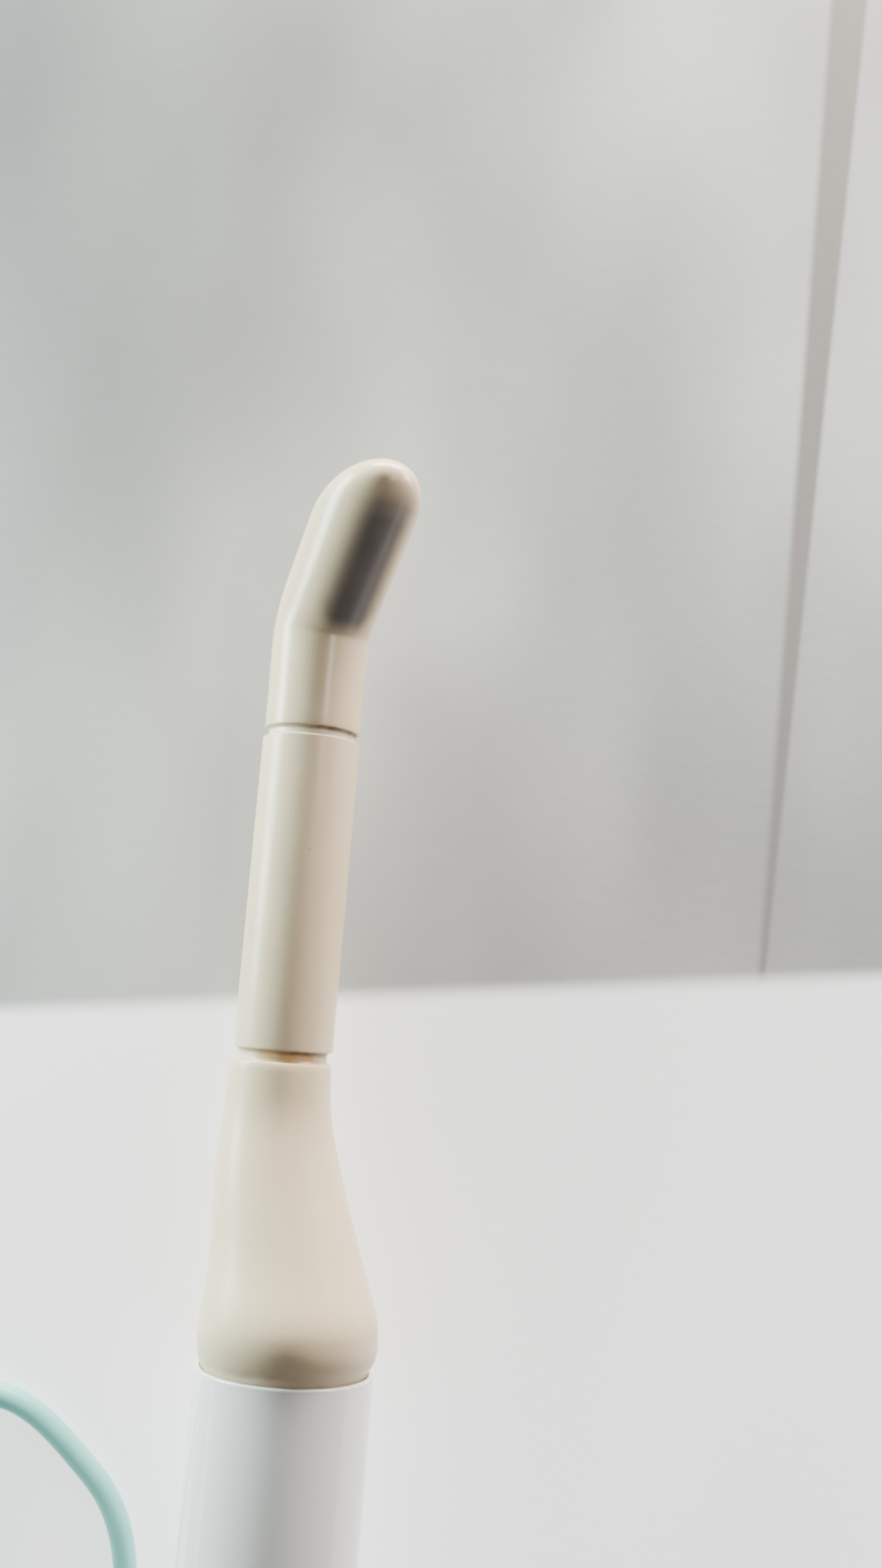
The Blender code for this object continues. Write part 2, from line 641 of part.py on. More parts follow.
def boot_profile(length, thick, thin, flange, wall, neck, ribs):
    """A strain relief: a flange inside the wall, a neck through it and a ribbed taper outside.

    Its height runs from 0 at the wall's outer face down to minus its length."""
    inside = wall + GAP
    bore = CABLE_RADIUS + GAP
    profile = [(flange, inside + 0.0015), (flange, inside), (neck, inside), (neck, -GAP),
               (thick, -GAP)]
    start, pitch = 0.006, (length - 0.008) / ribs
    for i in range(ribs):
        high = start + i * pitch
        radius = thick + (thin - thick) * high / length
        dip = radius - 0.0006
        profile += [(radius, -high), (dip, -high - pitch * 0.10), (dip, -high - pitch * 0.32),
                    (radius, -high - pitch * 0.42)]
    profile += [(thin, -length + 0.0006), (thin - 0.0006, -length), (bore, -length),
                (bore, inside + 0.0015)]
    return profile


def make_strain_relief():
    turned("strain_relief", boot_profile(0.038, 0.0072, 0.0040, 0.0068, 0.003, 0.0049, 5),
           GREY, probe_axis, at=(0, -REAR_REACH, 0), turn=ALONG_Y, sides=FINE, closed=True)


# ---------------------------------------------------------------- cable

def make_cable():
    step = 2.4 * 2 * CABLE_RADIUS
    tube("cable_run", smooth_route(RUN_ROUTE, step), CABLE_RADIUS, MINT)
    tube("cable_lead", smooth_route(LEAD_ROUTE, step), CABLE_RADIUS, MINT)
    half, corner = COIL_THICK / 2, 0.0030
    middle = COIL_LIFT + half
    section = []
    for side, rise, start in ((1, 1, 90), (1, -1, 0), (-1, -1, -90), (-1, 1, -180)):
        centre = (COIL_RADIUS + side * (half - corner), middle + rise * (half - corner))
        section += arc(centre, corner, start, start - 90, 2)
    turned("cable_coil", section, MINT, at=COIL_CENTRE, sides=36, closed=True)
    make_tie(half, middle)


def make_tie(half, middle):
    """A strap round the coil's bundle, at the coil's side that faces the connector."""
    width, thick = 0.010, 0.0010
    inner = COIL_RADIUS - half
    near = math.sqrt(inner ** 2 - (width / 2) ** 2) - GAP
    far = COIL_RADIUS + half + GAP
    depth, height = far - near, COIL_THICK + 2 * GAP
    centre = COIL_CENTRE + Vector((0, -(near + far) / 2, middle))
    tie = block("coil_tie", (width, depth + 2 * thick, height + 2 * thick), centre, TIE,
                corner=0.0034, along="X")
    cut(tie, block("tie_space", (2 * width, depth, height), centre, corner=0.0026, along="X",
                   cutter=True))


# ---------------------------------------------------------------- connector

plug_axis = empty("plug_axis", matrix=Matrix.Translation(PLUG_CENTRE))
SCREW_PLACES = [(side, y) for side in (-0.0240, 0.0240) for y in (-0.0340, 0.0200)]


def make_mating_face():
    width, length = 0.052, 0.070
    wall = 0.0016
    bore = rod("lock_bore", SHAFT_HOLE, 0.05, (0, 0, 0.012), "Z", parent=plug_axis,
               cutter=True)
    shell = block("connector_shell", (width, length, SHELL_TOP), (0, 0, SHELL_TOP / 2),
                  ALUMINIUM, plug_axis, corner=0.004)
    depth = SHELL_TOP - wall
    cut(shell, block("shell_space", (width - 2 * wall, length - 2 * wall, 2 * depth),
                     (0, 0, 0), parent=plug_axis, corner=0.003, cutter=True), bore)
    low, high = 0.0022, depth - GAP
    pins = block("pin_block", (width - 2 * wall - 2 * GAP, length - 2 * wall - 2 * GAP,
                               high - low), (0, 0, (low + high) / 2), SOCKET, plug_axis,
                 corner=0.0025)
    cut(pins, rod("pin_bore", 0.0066, 0.05, (0, 0, 0.012), "Z", parent=plug_axis,
                  cutter=True))
    for i in range(6):
        side = (i - 2.5) * 0.0074
        groove = block(f"pin_row_{i}", (0.0020, 0.052, 0.0016), (side, 0, low),
                       parent=plug_axis, cutter=True)
        if abs(side) > 0.008:
            cut(pins, groove)
    thick = CASE_BOTTOM - GAP - SHELL_TOP - GAP
    gasket = block("connector_gasket", (width, length, thick),
                   (0, 0, SHELL_TOP + GAP + thick / 2), SEAL, plug_axis, corner=0.004)
    cut(gasket, block("gasket_space", (width - 0.006, length - 0.006, 0.01),
                      (0, 0, CASE_BOTTOM), parent=plug_axis, corner=0.002, cutter=True))


def make_case():
    inner = (PLUG_WIDTH - 2 * PLUG_WALL, PLUG_LENGTH - 2 * PLUG_WALL)
    entry = rod("entry_hole", 0.0048, 0.02, (ENTRY_SIDE, PLUG_LENGTH / 2, CASE_SPLIT), "Y",
                parent=plug_axis, cutter=True)
    pocket = rod("flange_pocket", 0.0061, 0.0024,
                 (ENTRY_SIDE, PLUG_LENGTH / 2 - PLUG_WALL - 0.0012, CASE_SPLIT), "Y",
                 parent=plug_axis, cutter=True)
    halves = (("connector_lower_case", CASE_BOTTOM, CASE_SPLIT - GAP / 2, 1),
              ("connector_upper_case", CASE_SPLIT + GAP / 2, CASE_TOP, -1))
    for name, low, high, opens in halves:
        middle, height = span((low, high))
        case = block(name, (PLUG_WIDTH, PLUG_LENGTH, height), (0, 0, middle), CASE, plug_axis,
                     corner=0.006)
        if opens < 0:
            bevel(case, 0.0015)
        cut(case, block(name + "_space", (*inner, height), (0, 0, middle + opens * PLUG_WALL),
                        parent=plug_axis, corner=0.004, cutter=True), entry, pocket)
        for i, (x, y) in enumerate(SCREW_PLACES):
            boss_low = low + 0.0008 if opens > 0 else low
            boss_high = high if opens > 0 else high - 0.0008
            boss_middle, boss_height = span((boss_low, boss_high))
            boss = rod(f"{name}_boss_{i}", 0.0036, boss_height, (x, y, boss_middle), "Z",
                       parent=plug_axis, sides=16, cutter=True)
            combine(case, boss, "UNION")
    lower, upper = (bpy.data.objects[h[0]] for h in halves)
    for i, (x, y) in enumerate(SCREW_PLACES):
        floor = CASE_BOTTOM + 0.0020
        hole = rod(f"case_hole_{i}", 0.0016, CASE_TOP - floor, (x, y, (CASE_TOP + floor) / 2),
                   "Z", parent=plug_axis, sides=12, cutter=True)
        sink = rod(f"case_sink_{i}", 0.0029, 0.0050, (x, y, CASE_TOP), "Z", parent=plug_axis,
                   sides=16, cutter=True)
        cut(lower, hole)
        cut(upper, hole, sink)
        head = CASE_TOP - 0.0025 + GAP
        turned(f"case_screw_{i + 1}",
               [(0, head + 0.0018), (0.0022, head + 0.0018), (0.0026, head + 0.0014),
                (0.0026, head), (0.0013, head), (0.0013, floor + 0.0004),
                (0, floor + 0.0004)],
               STEEL, plug_axis, at=(x, y, 0), sides=16)
    cut(lower, bpy.data.objects["lock_bore"])
    cut(upper, rod("bush_bore", 0.0068, 0.02, (0, 0, CASE_TOP), "Z", parent=plug_axis,
                   cutter=True))


def make_plug_inside():
    low = CASE_BOTTOM + PLUG_WALL + 0.0004
    board = block("connector_board", (0.040, 0.060, 0.0016), (0, 0, low + 0.0008), BOARD,
                  plug_axis, corner=0.0015)
    cut(board, bpy.data.objects["lock_bore"])
    anchor = PLUG_LENGTH / 2 - PLUG_WALL - 0.0062
    clamp_low = low + 0.0016 + GAP
    clamp_high = CASE_SPLIT + 0.0050
    middle, height = span((clamp_low, clamp_high))
    clamp = block("connector_cable_clamp", (0.0110, 0.0060, height),
                  (ENTRY_SIDE + 0.0002, anchor, middle), ALUMINIUM, plug_axis, edge=0.0003)
    cut(clamp, rod("connector_clamp_bore", CABLE_RADIUS + GAP, 0.02,
                   (ENTRY_SIDE, anchor, CASE_SPLIT), "Y", parent=plug_axis, cutter=True))
    turned("connector_strain_relief",
           boot_profile(0.0260, 0.0062, 0.0040, 0.0058, PLUG_WALL, 0.0045, 3), GREY,
           plug_axis, at=(ENTRY_SIDE, PLUG_LENGTH / 2, CASE_SPLIT),
           turn=(math.pi / 2, 0, 0), sides=FINE, closed=True)


def make_lock():
    """The turning lock: a shaft through the connector with a wing lever on top."""
    roof = CASE_TOP - PLUG_WALL
    turned("lock_bush",
           [(0.0065, CASE_TOP + 0.0006), (0.0065, roof - GAP), (0.0090, roof - GAP),
            (0.0090, roof - 0.0024), (0.0043, roof - 0.0024), (0.0043, CASE_TOP + 0.0006)],
           BRASS, plug_axis, sides=FINE, closed=True)
    spring_top = roof - 0.0024 - GAP
    turned("lock_spring_washer",
           [(0.0050, spring_top), (0.0082, spring_top - 0.0010),
            (0.0082, spring_top - 0.0014), (0.0045, spring_top - 0.0004),
            (0.0045, spring_top)],
           STEEL, plug_axis, sides=FINE, closed=True)
    pin_height = 0.0042
    shaft = turned("lock_shaft",
                   [(0, 0.0380), (0.0036, 0.0380), (0.0040, 0.0376), (0.0040, 0.0012),
                    (0.0036, 0.0008), (0, 0.0008)], STEEL, plug_axis, sides=FINE)
    cut(shaft, rod("cross_hole", 0.0013, 0.03, (0, 0, pin_height), "X", parent=plug_axis,
                   sides=12, cutter=True))
    rod("lock_cross_pin", 0.0010, 0.0116, (0, 0, pin_height), "X", STEEL, plug_axis, sides=12)
    low = CASE_TOP + 0.0006 + GAP
    high = low + 0.0120
    lever = block("lock_lever", (0.0100, 0.0460, high - low), (0, 0, (low + high) / 2), WHITE,
                  plug_axis, corner=0.0045)
    hub = rod("lever_hub", 0.0100, 0.0070, (0, 0, low + 0.0035), "Z", parent=plug_axis,
              cutter=True)
    combine(lever, hub, "UNION")
    cut(lever, rod("lever_bore", 0.0040 + GAP, 2 * (0.0380 + GAP - low), (0, 0, low), "Z",
                   parent=plug_axis, cutter=True))


make_tip()
make_transducer()
make_wiring()
make_shaft()
make_neck()
make_handle()
make_chassis()
make_cable_anchor()
make_strain_relief()
make_cable()
make_mating_face()
make_case()
make_plug_inside()
make_lock()
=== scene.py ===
"""Looks of the angled-tip endocavity ultrasound probe, its cable and its connector.

Metres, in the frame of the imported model: +Y along the handle towards the tip, +Z up from the
surface that everything lies on. Each visible piece is a fine mesh that stands for its solid in
the frame; the sealed pieces inside keep their solids and get materials.
"""

import json
import math

import bmesh
import bpy
from mathutils import Matrix, Vector


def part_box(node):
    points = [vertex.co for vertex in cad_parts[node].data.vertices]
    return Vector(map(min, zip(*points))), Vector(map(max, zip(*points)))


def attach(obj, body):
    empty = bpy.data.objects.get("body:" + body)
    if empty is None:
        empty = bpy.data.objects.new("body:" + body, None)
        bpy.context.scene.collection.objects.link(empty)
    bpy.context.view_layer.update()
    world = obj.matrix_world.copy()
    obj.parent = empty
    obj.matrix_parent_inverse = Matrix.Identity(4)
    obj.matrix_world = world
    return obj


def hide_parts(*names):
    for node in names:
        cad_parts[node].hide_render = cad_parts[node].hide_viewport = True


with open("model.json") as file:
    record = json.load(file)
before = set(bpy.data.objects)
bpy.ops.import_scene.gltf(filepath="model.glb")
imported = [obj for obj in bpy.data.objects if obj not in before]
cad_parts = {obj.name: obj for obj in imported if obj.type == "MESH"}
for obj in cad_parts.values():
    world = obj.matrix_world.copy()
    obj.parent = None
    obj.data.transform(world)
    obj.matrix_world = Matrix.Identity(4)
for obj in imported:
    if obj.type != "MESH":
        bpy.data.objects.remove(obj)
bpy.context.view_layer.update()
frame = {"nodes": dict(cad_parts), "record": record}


# ---------------------------------------------------------------- places in the frame

def centre_of(node):
    low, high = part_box(node)
    return (low + high) / 2


def radius_of(node):
    low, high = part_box(node)
    return (high.x - low.x) / 2


GAP = 0.0003              # clearance between touching pieces
HANDLE_RADIUS = radius_of("handle_shell")
SHAFT_RADIUS = radius_of("shaft_sleeve")
CORE_RADIUS = radius_of("core_tube")
HANDLE_LINE = centre_of("handle_shell")
SHAFT_LINE = centre_of("shaft_sleeve")
SEAM_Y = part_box("handle_shell")[1].y + 0.0005       # between the handle and the neck
TIP_RIM_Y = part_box("tip_shell")[0].y
PLUG_CENTRE = centre_of("connector_shell")


# ---------------------------------------------------------------- material nodes

def add(tree, kind, **values):
    """A node with its settings. A name that isn't a setting is an input's, _ for a space."""
    node = tree.nodes.new(kind)
    for key, value in values.items():
        if hasattr(node, key):
            setattr(node, key, value)
        else:
            node.inputs[key.replace("_", " ")].default_value = value
    return node


def fill(tree, socket, value):
    """Sets an input to a number or colour, or links another node's output to it."""
    if isinstance(value, bpy.types.NodeSocket):
        tree.links.new(value, socket)
    else:
        socket.default_value = (*value, 1) if isinstance(value, tuple) else value


def place(tree):
    """Where a point is on the piece, in metres."""
    node = tree.nodes.get("place") or add(tree, "ShaderNodeTexCoord")
    node.name = "place"
    return node.outputs["Object"]


def noise(tree, size, low=0.0, high=1.0, detail=3.0, stretch=(1, 1, 1)):
    """Soft noise from low to high whose features are about a size in metres."""
    mapping = add(tree, "ShaderNodeMapping", Scale=tuple(s / size for s in stretch))
    source = add(tree, "ShaderNodeTexNoise", Scale=1.0, Detail=detail)
    spread = add(tree, "ShaderNodeMapRange", interpolation_type="SMOOTHSTEP", From_Min=0.25,
                 From_Max=0.75, To_Min=low, To_Max=high)
    tree.links.new(place(tree), mapping.inputs["Vector"])
    tree.links.new(mapping.outputs["Vector"], source.inputs["Vector"])
    tree.links.new(source.outputs["Fac"], spread.inputs["Value"])
    return spread.outputs["Result"]


def attribute(tree, name):
    return add(tree, "ShaderNodeAttribute", attribute_name=name).outputs["Fac"]


def times(tree, first, second):
    node = add(tree, "ShaderNodeMath", operation="MULTIPLY")
    fill(tree, node.inputs[0], first)
    fill(tree, node.inputs[1], second)
    return node.outputs[0]


def spot(tree, centre, radius, soft, flatten=(1, 1, 1)):
    """1 inside a round mark on the surface, falling to 0 over a soft edge."""
    scale = add(tree, "ShaderNodeVectorMath", operation="MULTIPLY")
    scale.inputs[1].default_value = flatten
    away = add(tree, "ShaderNodeVectorMath", operation="DISTANCE")
    away.inputs[1].default_value = [c * f for c, f in zip(centre, flatten)]
    fade = add(tree, "ShaderNodeMapRange", interpolation_type="SMOOTHSTEP", From_Min=radius,
               From_Max=radius + soft, To_Min=1.0, To_Max=0.0)
    tree.links.new(place(tree), scale.inputs[0])
    tree.links.new(scale.outputs["Vector"], away.inputs[0])
    tree.links.new(away.outputs["Value"], fade.inputs["Value"])
    return fade.outputs["Result"]


def blend_colour(tree, share, first, second):
    node = add(tree, "ShaderNodeMix", data_type="RGBA")
    fill(tree, node.inputs["Factor"], share)
    fill(tree, node.inputs[6], first)
    fill(tree, node.inputs[7], second)
    return node.outputs[2]


def surface(name, colour, rough, metal=0.0, vary=0.03, patch=0.02, grain=0.0008,
            relief=0.00001, coat=0.0, specular=0.5, rough_vary=0.05, sheen=0.0):
    """A material whose colour, gloss and fine relief all vary a little over the piece."""
    made = bpy.data.materials.new(name)
    made.use_nodes = True
    tree = made.node_tree
    shader = tree.nodes["Principled BSDF"]
    shader.inputs["Metallic"].default_value = metal
    shader.inputs["Coat Weight"].default_value = coat
    shader.inputs["Coat Roughness"].default_value = 0.06
    shader.inputs["Specular IOR Level"].default_value = specular
    shader.inputs["Sheen Weight"].default_value = sheen
    dark = tuple(c * (1 - vary) for c in colour)
    light = tuple(min(1.0, c * (1 + vary)) for c in colour)
    base = blend_colour(tree, noise(tree, patch), dark, light)
    tree.links.new(base, shader.inputs["Base Color"])
    tree.links.new(noise(tree, patch * 0.6, rough - rough_vary, rough + rough_vary),
                   shader.inputs["Roughness"])
    bump = add(tree, "ShaderNodeBump", Strength=0.5, Distance=relief)
    tree.links.new(noise(tree, grain, detail=2.0), bump.inputs["Height"])
    tree.links.new(bump.outputs["Normal"], shader.inputs["Normal"])
    return made


def overlay(look, share, colour):
    """Lays another colour over a material's own where share, a node's output, is high."""
    tree = look.node_tree
    socket = tree.nodes["Principled BSDF"].inputs["Base Color"]
    under = socket.links[0].from_socket
    tree.links.new(blend_colour(tree, share, under, colour), socket)
    return look


def soften(look, weight, depth):
    """Lets light pass a little way into a material."""
    shader = look.node_tree.nodes["Principled BSDF"]
    shader.inputs["Subsurface Weight"].default_value = weight
    shader.inputs["Subsurface Radius"].default_value = (1.0, 0.8, 0.6)
    shader.inputs["Subsurface Scale"].default_value = depth
    return look


# ---------------------------------------------------------------- meshes

def curve_through(points, step):
    """Points about a step apart on a smooth curve through the given ones."""
    knots = [Vector(p) for p in points]
    knots = [2 * knots[0] - knots[1], *knots, 2 * knots[-1] - knots[-2]]
    made = []
    for a, b, c, d in zip(knots, knots[1:], knots[2:], knots[3:]):
        count = max(1, round((c - b).length / step))
        for i in range(count):
            t = i / count
            made.append(0.5 * (2 * b + (c - a) * t + (2 * a - 5 * b + 4 * c - d) * t ** 2
                               + (3 * b - 3 * c + d - a) * t ** 3))
    return [*made, knots[-2]]


def rounded(corners, steps=6, closed=True):
    """A line of (across, along, fillet) corners as points, with each corner rounded."""
    made = []
    for i, (across, along, fillet) in enumerate(corners):
        here = Vector((across, along))
        if not fillet or (not closed and i in (0, len(corners) - 1)):
            made.append(here)
            continue
        back = Vector(corners[i - 1][:2]) - here
        ahead = Vector(corners[(i + 1) % len(corners)][:2]) - here
        reach = min(fillet / math.tan(back.angle(ahead) / 2), 0.48 * back.length,
                    0.48 * ahead.length)
        start, end = here + back.normalized() * reach, here + ahead.normalized() * reach
        for k in range(steps + 1):
            t = k / steps
            made.append(start * (1 - t) ** 2 + here * 2 * t * (1 - t) + end * t ** 2)
    return made


def rows_mesh(name, rows, closed=False, poles=(None, None)):
    """A skin through rows of points. closed joins the last row to the first, and otherwise
    each end is closed flat or to its pole."""
    bm = bmesh.new()
    made = [[bm.verts.new(p) for p in row] for row in rows]
    count = len(made[0])
    for low, high in list(zip(made, made[1:])) + ([(made[-1], made[0])] if closed else []):
        for i in range(count):
            k = (i + 1) % count
            bm.faces.new((low[i], low[k], high[k], high[i]))
    for row, pole in ((made[0], poles[0]), (made[-1], poles[1])):
        if pole is not None:
            tip = bm.verts.new(pole)
            for i in range(count):
                bm.faces.new((row[i], row[(i + 1) % count], tip))
        elif not closed:
            bm.faces.new(row)
    return finish_mesh(bm, name)


SHARP_EDGE = math.radians(32)


def finish_mesh(bm, name):
    bmesh.ops.recalc_face_normals(bm, faces=bm.faces)
    mesh = bpy.data.meshes.new(name)
    bm.to_mesh(mesh)
    bm.free()
    mesh.shade_smooth()
    mesh.set_sharp_from_angle(angle=SHARP_EDGE)
    return mesh


def circle(radius, sides, height, origin, axis):
    """Points of a circle about an axis, Y or Z, at a height along it from an origin."""
    made = []
    for i in range(sides):
        a = 2 * math.pi * i / sides
        across, up = radius * math.cos(a), radius * math.sin(a)
        step = (across, height, up) if axis == "Y" else (across, up, height)
        made.append(Vector(origin) + Vector(step))
    return made


def turned_mesh(name, corners, origin, axis="Y", sides=96, closed=True, steps=6):
    """A rounded profile of (radius, height, fillet) corners turned about an axis. An open
    profile starts and ends on the axis."""
    points = rounded(corners, steps, closed)
    if closed:
        return rows_mesh(name, [circle(p.x, sides, p.y, origin, axis) for p in points], True)
    way = Vector((0, 1, 0)) if axis == "Y" else Vector((0, 0, 1))
    poles = [Vector(origin) + way * p.y for p in (points[0], points[-1])]
    return rows_mesh(name, [circle(p.x, sides, p.y, origin, axis) for p in points[1:-1]],
                     poles=poles)


def plan_outline(width, length, corner, spacing=0.0015, arc_steps=10):
    """Points round a rectangle with rounded corners, close together on its long sides."""
    made = []
    half_w, half_l = width / 2, length / 2
    for sx, sy, start in ((1, 1, 0), (-1, 1, 90), (-1, -1, 180), (1, -1, 270)):
        centre = Vector((sx * (half_w - corner), sy * (half_l - corner)))
        for i in range(arc_steps + 1):
            a = math.radians(start + 90 * i / arc_steps)
            made.append(centre + corner * Vector((math.cos(a), math.sin(a))))
    filled = []
    for here, there in zip(made, made[1:] + made[:1]):
        count = max(1, int((there - here).length / spacing))
        filled += [here.lerp(there, k / count) for k in range(count)]
    return filled


def slab_rows(width, length, corner, low, high, low_edge, high_edge, steps=5):
    """(points, height) rows of a rounded slab, its lower and upper edges rounded too."""
    rows = []
    edges = [(low_edge, low + low_edge, -90 + 90 * i / steps) for i in range(steps + 1)]
    edges += [(high_edge, high - high_edge, 90 * i / steps) for i in range(steps + 1)]
    for edge, base, degrees in edges:
        a = math.radians(degrees)
        inset = edge * (1 - math.cos(a))
        height = base + edge * math.sin(a)
        rows.append((plan_outline(width - 2 * inset, length - 2 * inset,
                                  max(0.0002, corner - inset)), height))
    return rows


def show(name, mesh, look, stands_for=(), body="probe"):
    """Puts a mesh in the scene as a piece that rides on a body and stands for its solids."""
    made = bpy.data.objects.new(name, mesh)
    bpy.context.scene.collection.objects.link(made)
    if not mesh.materials:
        mesh.materials.append(look)
    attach(made, body)
    if stands_for:
        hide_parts(*stands_for)
    return made


def paint(mesh, name, value_at):
    """Stores a number at each vertex, for the material to read."""
    values = mesh.attributes.new(name, "FLOAT", "POINT")
    for vertex, value in zip(mesh.vertices, values.data):
        value.value = value_at(vertex.co)


def smooth_step(low, high, value):
    t = min(1.0, max(0.0, (value - low) / (high - low)))
    return t * t * (3 - 2 * t)


# ---------------------------------------------------------------- camera, floor and light

def make_camera():
    """Above the probe, tipped forward and rolled a little, as the picture was taken."""
    tip_forward, roll, lens = math.radians(8.77), math.radians(4.44), 34.65
    forward = Vector((0, math.sin(tip_forward), -math.cos(tip_forward)))
    up = Vector((0, math.cos(tip_forward), math.sin(tip_forward)))
    right = Vector((1, 0, 0))
    turned_right = math.cos(roll) * right + math.sin(roll) * up
    turned_up = math.cos(roll) * up - math.sin(roll) * right
    data = bpy.data.cameras.new("camera")
    data.sensor_fit = "VERTICAL"
    data.sensor_height = 36.0
    data.lens = lens
    data.clip_start = 0.01
    camera = bpy.data.objects.new("camera", data)
    bpy.context.scene.collection.objects.link(camera)
    turn = Matrix((turned_right, turned_up, -forward)).transposed()
    above = Vector((0.0242, SEAM_Y + 0.0750, 0.3539))
    camera.matrix_world = Matrix.Translation(above) @ turn.to_4x4()
    bpy.context.scene.camera = camera


# The two papers' colours and painted glow, the far one's painted shade in its grey, creases and
# darker corner, and the lines across the floor where the near sheet, the fold's painted shade
# at the right and the side sheet begin
NEAR_PAPER = (0.66, 0.66, 0.66)
FAR_PAPER_SHADED = ((0.33, 0.33, 0.33), (0.58, 0.58, 0.57))
FOLD_PAINTED_SHADE = (0.20, 0.175, 0.16)
NEAR_PAINTED_GLOW = ((1.40, 1.40, 1.40), (1.75, 1.75, 1.74))
FAR_PAINTED_GLOW = (0.22, 0.22, 0.22)
FAR_SHADE = ((-0.13, 0.27, 0.0), 0.03, 0.19)
FAR_EDGE = ((-0.0734, 0.0313), (0.1018, 0.0516))
SIDE_EDGE = ((0.1015, 0.0516), (0.1092, 0.3046))
FOLD_EDGE = ((0.1030, 0.0516), (0.1185, 0.3052))


def side_of_line(tree, start, end, soft):
    """0 on the left of a line across the floor and 1 on its right, with a soft edge."""
    along = Vector((end[0] - start[0], end[1] - start[1], 0)).normalized()
    right = Vector((along.y, -along.x, 0))
    dot = add(tree, "ShaderNodeVectorMath", operation="DOT_PRODUCT")
    dot.inputs[1].default_value = right
    tree.links.new(place(tree), dot.inputs[0])
    here = right.dot(Vector((start[0], start[1], 0)))
    fade = add(tree, "ShaderNodeMapRange", interpolation_type="SMOOTHSTEP",
               From_Min=here - soft, From_Max=here + soft)
    tree.links.new(dot.outputs["Value"], fade.inputs["Value"])
    return fade.outputs["Result"]


def painted_crease_shade(tree, size):
    """Painted shade and light of broad soft creases, as in a hung sheet of paper, longer than they
    are wide.
    """
    return noise(tree, size, detail=1.5, stretch=(1.0, 0.45, 1.0))


def make_floor():
    """A white sheet below and a greyer one beyond it, whose grey, creases, darker corner and fold
    are painted shade. Both carry a painted glow, an emission that stands in for light on paper."""
    bm = bmesh.new()
    bmesh.ops.create_circle(bm, cap_ends=True, radius=2.5, segments=96)
    look = surface("floor_paper", NEAR_PAPER, 0.75, vary=0.006, patch=0.15,
                   grain=0.004, relief=0.00003, specular=0.1)
    tree = look.node_tree
    shader = tree.nodes["Principled BSDF"]
    near = side_of_line(tree, *FAR_EDGE, 0.0028)
    side = side_of_line(tree, *SIDE_EDGE, 0.0012)
    fold = times(tree, side_of_line(tree, *FOLD_EDGE, 0.0008), -1.0)
    # the strip between the side sheet's edge and the fold's line, where the fold's shade is
    # painted
    fold_shade = add(tree, "ShaderNodeMath", operation="ADD", use_clamp=True)
    tree.links.new(side, fold_shade.inputs[0])
    tree.links.new(fold, fold_shade.inputs[1])
    # painted shade: the far sheet's grey and its crease tones, as white paper in less light
    shaded_far_paper = blend_colour(tree, painted_crease_shade(tree, 0.055), FAR_PAPER_SHADED[0], FAR_PAPER_SHADED[1])
    # painted shade: a soft dark spot laid over the far sheet's corner
    dark = times(tree, spot(tree, *FAR_SHADE), 0.60)
    shaded_far_paper = blend_colour(tree, dark, shaded_far_paper, (0.03, 0.03, 0.03))
    # painted shade of the fold at the right
    shaded_far_paper = blend_colour(tree, fold_shade.outputs[0], shaded_far_paper, FOLD_PAINTED_SHADE)
    base = shader.inputs["Base Color"]
    tree.links.new(blend_colour(tree, near, shaded_far_paper, base.links[0].from_socket), base)
    # painted glow: emission that makes the paper shine as if lit, varied along painted creases
    painted_glow = blend_colour(tree, painted_crease_shade(tree, 0.12), NEAR_PAINTED_GLOW[0], NEAR_PAINTED_GLOW[1])
    tree.links.new(blend_colour(tree, near, FAR_PAINTED_GLOW, painted_glow), shader.inputs["Emission Color"])
    shader.inputs["Emission Strength"].default_value = 1.0
    floor = bpy.data.objects.new("floor", finish_mesh(bm, "floor"))
    floor.data.materials.append(look)
    bpy.context.scene.collection.objects.link(floor)


# Name, place, width, height, watts and colour of each rectangle of light
LAMPS = [
    ("far_lamp", (0.06, 0.83, 0.09), 0.60, 0.14, 26, (0.97, 1.0, 0.90)),
    ("left_window", (-0.39, 0.22, 0.06), 0.42, 0.12, 8.4, (0.81, 1.0, 0.95)),
    ("right_lamp", (0.27, 0.37, 0.035), 0.34, 0.07, 3.0, (1.0, 0.88, 0.82)),
    ("side_lamp", (0.42, 0.30, 0.15), 0.07, 0.07, 0.40, (1.0, 0.90, 0.80)),
    ("ceiling_lamp", (0.26, 0.20, 0.42), 0.03, 0.03, 0.36, (1.0, 0.93, 0.84)),
]


def make_light():
    """Low light from beyond the tip, a cool window at the left and a warmer lamp at the right.
    Little comes from overhead. All of it faces the probe's middle."""
    middle = Vector((0, 0.03, 0.03))
    for name, where, width, height, watts, colour in LAMPS:
        data = bpy.data.lights.new(name, "AREA")
        data.shape = "RECTANGLE"
        data.size, data.size_y = width, height
        data.energy = watts
        data.color = colour
        light = bpy.data.objects.new(name, data)
        bpy.context.scene.collection.objects.link(light)
        way = middle - Vector(where)
        light.matrix_world = (Matrix.Translation(where)
                              @ way.to_track_quat("-Z", "Y").to_matrix().to_4x4())
    world = bpy.data.worlds.new("studio")
    world.use_nodes = True
    world.node_tree.nodes["Background"].inputs["Color"].default_value = (0.181, 0.184, 0.188, 1)
    bpy.context.scene.world = world


# ---------------------------------------------------------------- tip

# The bend's own measures, the same as the frame's tip
TIP_RADIUS = 0.0108
HEAD_RADIUS = 0.0112
TIP_CORNER = 0.0251       # from the rim to where the straight and the bent axes cross
TIP_BEND = math.radians(40.8)
BEND_TURN = math.radians(27.6)
HEAD_LENGTH = 0.0284
HEAD_END = 0.0136
TIP_WALL = 0.0015
CREASE_RADIUS = 0.0015
OUTER_RADIUS = 0.0377
BEND_FROM = 0.0065
BEND_TO = 0.0245
SEAT_DEPTH = 0.0124       # how deep the inner tube's seat goes from the rim

